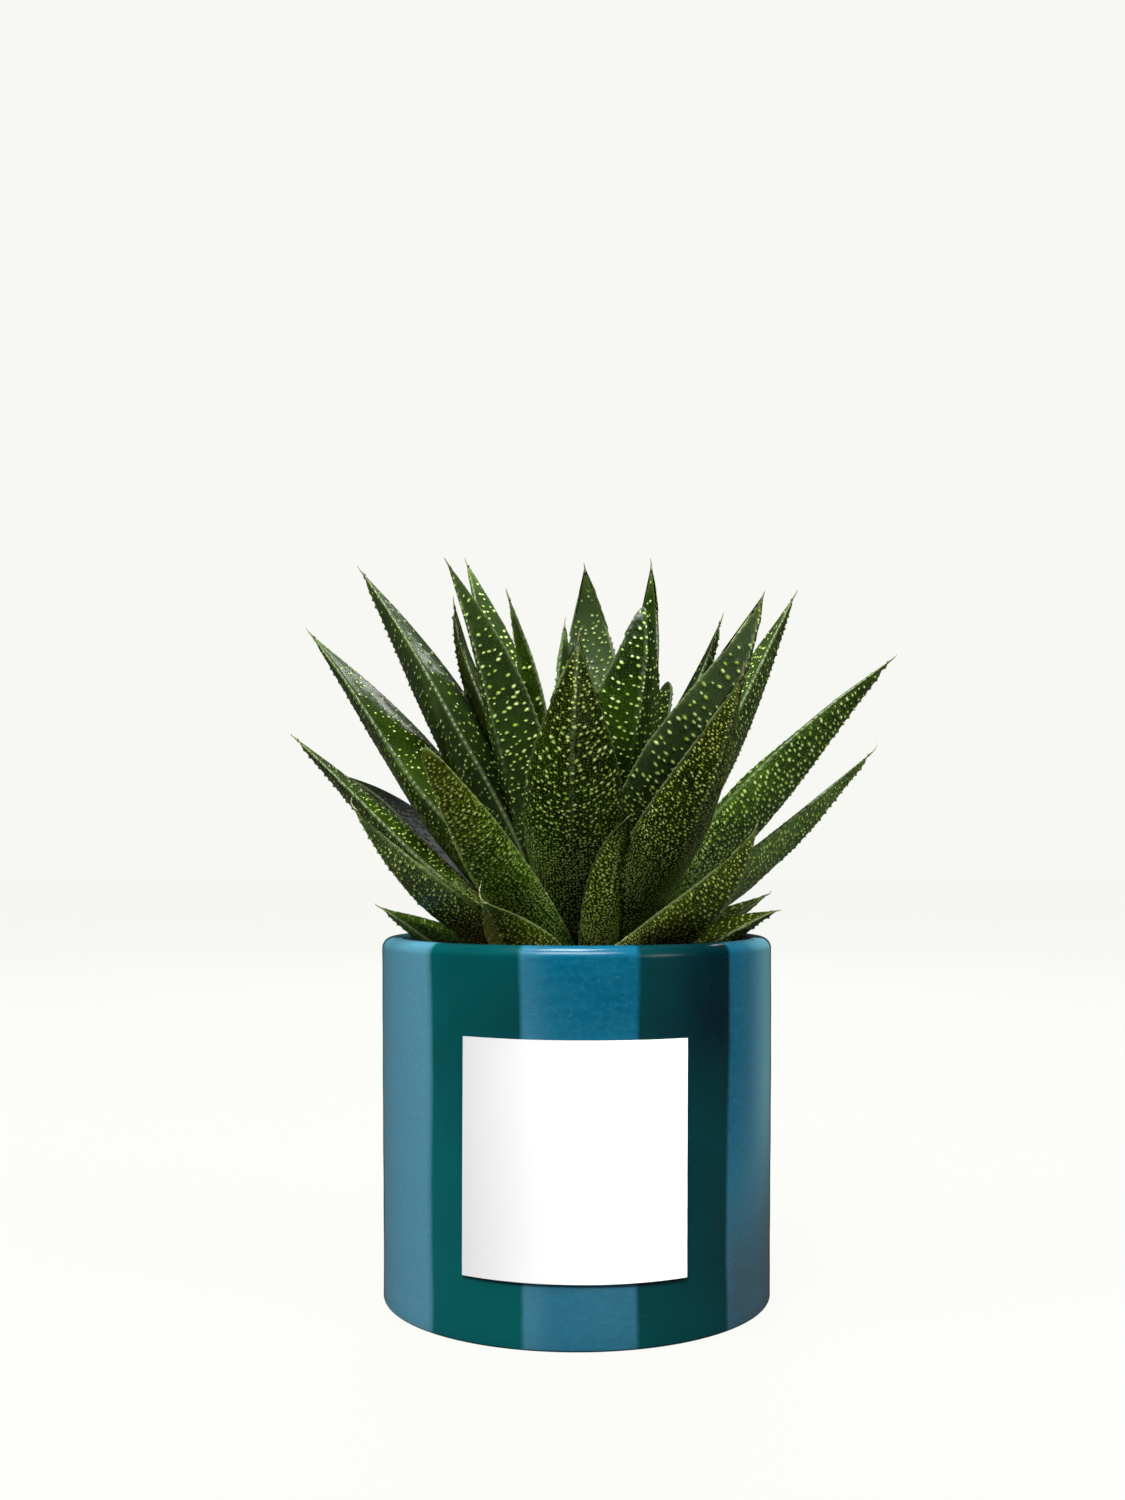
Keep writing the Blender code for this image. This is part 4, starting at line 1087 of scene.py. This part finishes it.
            # triangles in the developed plane, inside the leaf's outline
            flat = [Vector((float(s), float(q))) for s, q in zip(s_all, q_all)]
            names = list(range(first, first + len(s_all)))
            start = len(flat)
            left = [(margin_s[i], -width[i]) for i in range(count)]
            right = [(margin_s[i], width[i]) for i in range(count)]
            flat += [Vector(map(float, p)) for p in left]
            names += ids[-1]
            flat += [Vector(map(float, p)) for p in right]
            names += ids[1]
            flat.append(Vector((self.length, 0.0)))
            names.append(tip)
            loop = list(range(start, start + count)) + [len(flat) - 1]
            loop += list(range(start + 2 * count - 1, start + count - 1, -1))
            loop += list(range(len(s_all) - 1, len(s_in) - 1, -1))
            edges = [(loop[i], loop[(i + 1) % len(loop)]) for i in range(len(loop))]
            verts, _, tris, origin, _, _ = delaunay_2d_cdt(flat, edges, [], 1, 1e-6, True)
            link = [names[o[0]] if o else None for o in origin]
            made = []
            for tri in tris:
                got = [link[v] for v in tri]
                if None not in got and len(set(got)) == 3:
                    made.append(got)
            made = np.array(made)
            xyz_all = np.array(points)
            p0, p1, p2 = xyz_all[made[:, 0]], xyz_all[made[:, 1]], xyz_all[made[:, 2]]
            facing = np.cross(p1 - p0, p2 - p0)
            want = self.at(self.normal, np.array(along)[made[:, 0]]) * (1.0 if face == "upper" else -1.0)
            if (facing * want).sum() < 0:
                made = made[:, ::-1]
            faces.extend(map(tuple, made.tolist()))
            ids[face] = foot_ids

        # the foot's cut end
        ring = [ids[-1][0]] + ids["upper"] + [ids[1][0]] + ids["back"][::-1]
        middle = extend(
            np.array([np.mean([points[i] for i in ring], axis=0)]),
            spot=[0.0], pale=[0.5], edge=[0.0], upper=[0.5], along=[0.0], off=[0.0],
        )
        a, b = np.array(points[ring[0]]), np.array(points[ring[1]])
        c = np.array(points[middle])
        flip = np.dot(np.cross(b - a, c - a), self.along[0]) > 0
        for i in range(len(ring)):
            pair = (ring[i], ring[(i + 1) % len(ring)])
            faces.append((pair[1], pair[0], middle) if flip else (pair[0], pair[1], middle))

        xyz = np.array(points)
        xyz = self.make_room(xyz, outer)
        dry = np.zeros(len(xyz))
        xyz, faces, dry, extra = self.awn(xyz, faces, dry)
        for row, value in ((spot, 0.0), (pale, 0.5), (edge, 0.0), (upper, 0.5), (along, 1.0),
                           (off, 0.0), (crest_highlight_at, 0.0)):
            row.extend([value] * extra)
        along = np.array(along)
        name = f"leaf_{self.number:02d}_skin"
        obj = new_object(name, xyz, faces, material)
        for key, values in (("spot", spot), ("pale", pale), ("edge", edge), ("upper", upper),
                            ("along", along), ("dry", dry), ("off", off)):
            put(obj, key, values)
        put(obj, "run", np.interp(along, self.t, self.arc) - 0.010 * np.array(off) ** 2)
        # painted highlight along the keel's crest
        put(obj, "line", np.array(crest_highlight_at) * self.look["line"])
        put(obj, "seed", np.full(len(xyz), 3.7 * self.number))
        fade = 1.0 - smooth(0.22, 0.50, along) * (1.0 - self.look["dash"] * (1.0 - 0.6 * np.array(upper)))
        # fewer dashes where the foot is drawn in painted shade
        sown_and_shade = lerp(self.look["sown_and_shade"], 1.0, smooth(0.40, 0.60, along))
        put(obj, "dash", sown_and_shade * fade * smooth(0.0, 0.04, along) * (1.0 - smooth(0.85, 0.97, along)))
        put(obj, "tip", smooth(0.88, 1.0, along) * (0.0 if self.look["blunt"] else 1.0))
        # the leaf's own tone with painted light and shade, and a painted sheen
        for key in ("olive", "fresh", "painted_sheen", "tone_and_painted_light"):
            value = self.look[key]
            value = value if isinstance(value, tuple) else (value,) * 3
            put(obj, key, np.interp(along, (0.10, 0.50, 0.92), value))
        half = np.maximum(self.at(self.half, along), 0.5)
        # a red-brown flank, which on leaf 17 is painted shade
        hand, start, end = self.look["rust_and_shade"]
        flank = smooth(start, start + 0.4, hand * np.array(off) / half) if hand else 0.0 * along
        put(obj, "rust_and_shade", 0.7 * flank * (1.0 - smooth(end - 0.3, end, along)))
        for key in ("dim", "gloss", "straw"):
            put(obj, key, np.full(len(xyz), self.look[key]))
        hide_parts(f"leaf_{self.number:02d}")
        return obj

    def locate(self, xyz):
        """(t, sideways, upward) of points, measured in this leaf's own frame."""
        c, a = self.centre[::4], self.along[::4]
        t = self.t[::4]
        ahead = xyz @ a.T - (c * a).sum(axis=1)[None]
        # the last station that the point is still ahead of
        index = np.clip((ahead > 0).sum(axis=1) - 1, 0, len(t) - 2)
        rows = np.arange(len(xyz))
        d0, d1 = ahead[rows, index], ahead[rows, index + 1]
        f = np.clip(d0 / np.where(np.abs(d0 - d1) < 1e-9, 1.0, d0 - d1), 0.0, 1.0)
        at = t[index] + (t[index + 1] - t[index]) * f
        rel = xyz - self.at(self.centre, at)
        on = (ahead[:, 0] > 0) & (ahead[:, -1] < 0)
        return at, (rel * self.at(self.side, at)).sum(axis=1), (rel * self.at(self.normal, at)).sum(axis=1), on

    def make_room(self, xyz, outer):
        """Where this leaf would press into an older one outside it, its skin lies on the older
        leaf's upper face instead."""
        low, high = xyz.min(axis=0), xyz.max(axis=0)
        for other in reversed(outer):
            if (other.low > high).any() or (other.high < low).any():
                continue
            t, x, y, on = other.locate(xyz)
            half = np.maximum(other.at(other.half, t), 1e-3)
            deep = other.at(other.deep, t)
            xi = np.clip(np.abs(x) / half, 0.0, 1.0)
            floor = other.back_height(other.at(other.keel, t), deep, other.at(other.rim, t), xi)
            roof = other.at(other.hollow, t) * (1 - xi * xi) + 0.30
            within = on & (np.abs(x) < half) & (y < roof) & (y > floor - 0.1)
            lift = np.where(within, roof - y, 0.0)
            if not within.any():
                continue
            xyz = xyz + other.at(other.normal, t) * lift[:, None]
        return xyz

    def awn(self, xyz, faces, dry):
        """The dry bristle at the tip."""
        length, sideways, upward = self.look["awn"]
        dry = dry.copy()
        if length <= 0:
            return xyz, faces, dry, 0
        tip, d = self.centre[-1], self.along[-1]
        side, up = self.side[-1], self.normal[-1]
        steps, around = 9, 6
        start = 1.6
        line = []
        for i in range(steps + 1):
            f = i / steps
            run = -start + (length + start) * f
            curl = max(0.0, run / length) ** 1.8
            line.append(tip + d * (run if run < 0 else run * (1 - self.look["hook"] * curl)) + side * sideways * curl
                        + up * upward * curl)
        line = np.array(line)
        first = len(xyz)
        rings = []
        for i in range(steps):
            f = i / steps
            run = -start + (length + start) * f
            radius = 0.15 + 0.17 * max(0.0, -run / start) if run < 0 else 0.15 * (1 - 0.80 * run / length)
            for k in range(around):
                ang = math.tau * k / around
                rings.append(line[i] + (side * math.cos(ang) + up * math.sin(ang)) * radius)
        rings.append(line[-1])
        rings.append(line[0])
        new = np.array(rings)
        end, base = first + len(new) - 2, first + len(new) - 1
        faces = list(faces)
        for i in range(steps - 1):
            for k in range(around):
                m = (k + 1) % around
                a, b = first + i * around, first + (i + 1) * around
                faces.append((a + k, a + m, b + m, b + k))
        last = first + (steps - 1) * around
        for k in range(around):
            m = (k + 1) % around
            faces.append((last + k, last + m, end))
            faces.append((first + m, first + k, base))
        fade = [0.0] * around + [0.35] * around + [0.9] * (around * (steps - 2)) + [1.0, 0.0]
        # side, up and direction may be left-handed, so that the tube would be inside out
        if np.dot(np.cross(side, up), d) < 0:
            faces = [f if min(f) < first else tuple(reversed(f)) for f in faces]
        return np.vstack([xyz, new]), faces, np.concatenate([dry, fade]), len(new)


# ================================================================ making it
glaze, paper, earth = glaze_material(), paper_material(), soil_material()
flesh = stem_material()
skin, old_skin = leaf_material("leaf_skin", 0.30), leaf_material("old_leaf_skin", 0.10)

pieces = [make_pot(glaze), make_label(paper), make_soil(earth)]
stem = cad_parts["stem"]
for slot in stem.material_slots:
    slot.material = flesh

leaves = []
OLD_SKIN = (1, 9, 16, 17, 18, 21)      # weathered leaves at the front, with less sheen
for number, row in enumerate(LEAVES, 1):
    leaf = Leaf(number, row)
    obj = leaf.build(old_skin if number in OLD_SKIN else skin, leaves)
    reach = leaf.half.max() + 1.0
    leaf.low, leaf.high = leaf.centre.min(axis=0) - reach, leaf.centre.max(axis=0) + reach
    leaves.append(leaf)
    pieces.append(obj)
for obj in pieces:
    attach(obj, "root")

# ================================================================ floor and light
PALE = srgb(247, 248, 243)


def make_floor():
    """A plain pale floor that meets the pale background without a line."""
    n = Nodes("pale_floor")
    glow = n.tree.nodes.new("ShaderNodeEmission")
    glow.inputs[0].default_value = (*PALE, 1.0)
    path = n.tree.nodes.new("ShaderNodeLightPath")
    bounce = n.blend(path.outputs["Is Glossy Ray"], 0.16, 0.05)
    n.wire(n.blend(path.outputs["Is Camera Ray"], bounce, 0.985), glow.inputs[1])
    add = n.tree.nodes.new("ShaderNodeAddShader")
    n.set(Base_Color=(0.02, 0.02, 0.02), Roughness=0.9)
    n.bsdf.inputs["Specular IOR Level"].default_value = 0.0
    n.tree.links.new(n.bsdf.outputs[0], add.inputs[0])
    n.tree.links.new(glow.outputs[0], add.inputs[1])
    n.tree.links.new(add.outputs[0], n.tree.nodes["Material Output"].inputs[0])
    steps = 96
    size = 9000.0
    points = [(0.0, 0.0, -0.02)]
    points += [(size * math.cos(math.tau * i / steps), size * math.sin(math.tau * i / steps), -0.02)
               for i in range(steps)]
    faces = [(0, 1 + i, 1 + (i + 1) % steps) for i in range(steps)]
    floor = new_object("floor", points, faces, n.material, False)


def make_world():
    """A pale backdrop stands behind and above the plant; the room in front is dim. The camera
    sees one even pale colour."""
    world = bpy.data.worlds.new("studio")
    world.use_nodes = True
    tree = world.node_tree
    tree.nodes.clear()
    out = tree.nodes.new("ShaderNodeOutputWorld")
    seen = tree.nodes.new("ShaderNodeBackground")
    seen.inputs[0].default_value = (*PALE, 1.0)
    lit = tree.nodes.new("ShaderNodeBackground")
    lit.inputs[0].default_value = (0.90, 0.95, 1.0, 1.0)
    direction = tree.nodes.new("ShaderNodeTexCoord")
    split = tree.nodes.new("ShaderNodeSeparateXYZ")
    tree.links.new(direction.outputs["Generated"], split.inputs[0])
    depth = tree.nodes.new("ShaderNodeMapRange")
    depth.interpolation_type = "SMOOTHSTEP"
    for i, v in enumerate((-0.05, 0.45, 0.02, 0.17), 1):
        depth.inputs[i].default_value = v
    tree.links.new(split.outputs[1], depth.inputs[0])
    path = tree.nodes.new("ShaderNodeLightPath")
    share = tree.nodes.new("ShaderNodeMapRange")       # reflected, the room is dimmer still
    for i, v in enumerate((0.0, 1.0, 1.0, 0.35), 1):
        share.inputs[i].default_value = v
    tree.links.new(path.outputs["Is Glossy Ray"], share.inputs[0])
    power = tree.nodes.new("ShaderNodeMath")
    power.operation = "MULTIPLY"
    tree.links.new(depth.outputs[0], power.inputs[0])
    tree.links.new(share.outputs[0], power.inputs[1])
    tree.links.new(power.outputs[0], lit.inputs[1])
    mix = tree.nodes.new("ShaderNodeMixShader")
    tree.links.new(path.outputs["Is Camera Ray"], mix.inputs[0])
    tree.links.new(lit.outputs[0], mix.inputs[1])
    tree.links.new(seen.outputs[0], mix.inputs[2])
    tree.links.new(mix.outputs[0], out.inputs[0])
    scene.world = world


def softbox(name, place, aim, width, height, power, colour=(1.0, 1.0, 1.0)):
    light = bpy.data.lights.new(name, "AREA")
    light.shape = "RECTANGLE"
    light.size, light.size_y = width, height
    light.energy = power
    light.color = colour
    obj = bpy.data.objects.new(name, light)
    obj.location = place
    direction = Vector(aim) - Vector(place)
    obj.rotation_euler = direction.to_track_quat("-Z", "Y").to_euler()
    obj.visible_camera = False
    scene.collection.objects.link(obj)
    return obj


make_floor()
make_world()
MIDDLE = (0.0, 0.0, 0.09)
for box in (
    softbox("front_top", (-0.18, -0.80, 1.05), MIDDLE, 0.50, 0.40, 29.0),
    softbox("left", (-0.95, -0.30, 0.70), MIDDLE, 0.40, 0.40, 9.5),
    softbox("right", (0.80, -0.45, 0.80), MIDDLE, 0.40, 0.40, 10.5),
):
    box.visible_glossy = False         # as through a polarising filter
for box in (
    softbox("sheen_front", (-0.02, -0.80, 1.05), MIDDLE, 0.80, 0.36, 17.0),
    softbox("sheen_right", (0.58, -0.52, 0.30), MIDDLE, 0.25, 0.20, 0.8),
):
    box.visible_diffuse = False
softbox("top", (-0.05, -0.10, 1.1), MIDDLE, 0.30, 0.30, 10.0, (0.95, 0.98, 1.0))
softbox("back", (0.37, 0.67, 0.76), MIDDLE, 0.17, 0.17, 0.8)
softbox("back_fill", (0.0, 0.95, 0.75), MIDDLE, 0.50, 0.40, 14.0).visible_glossy = False
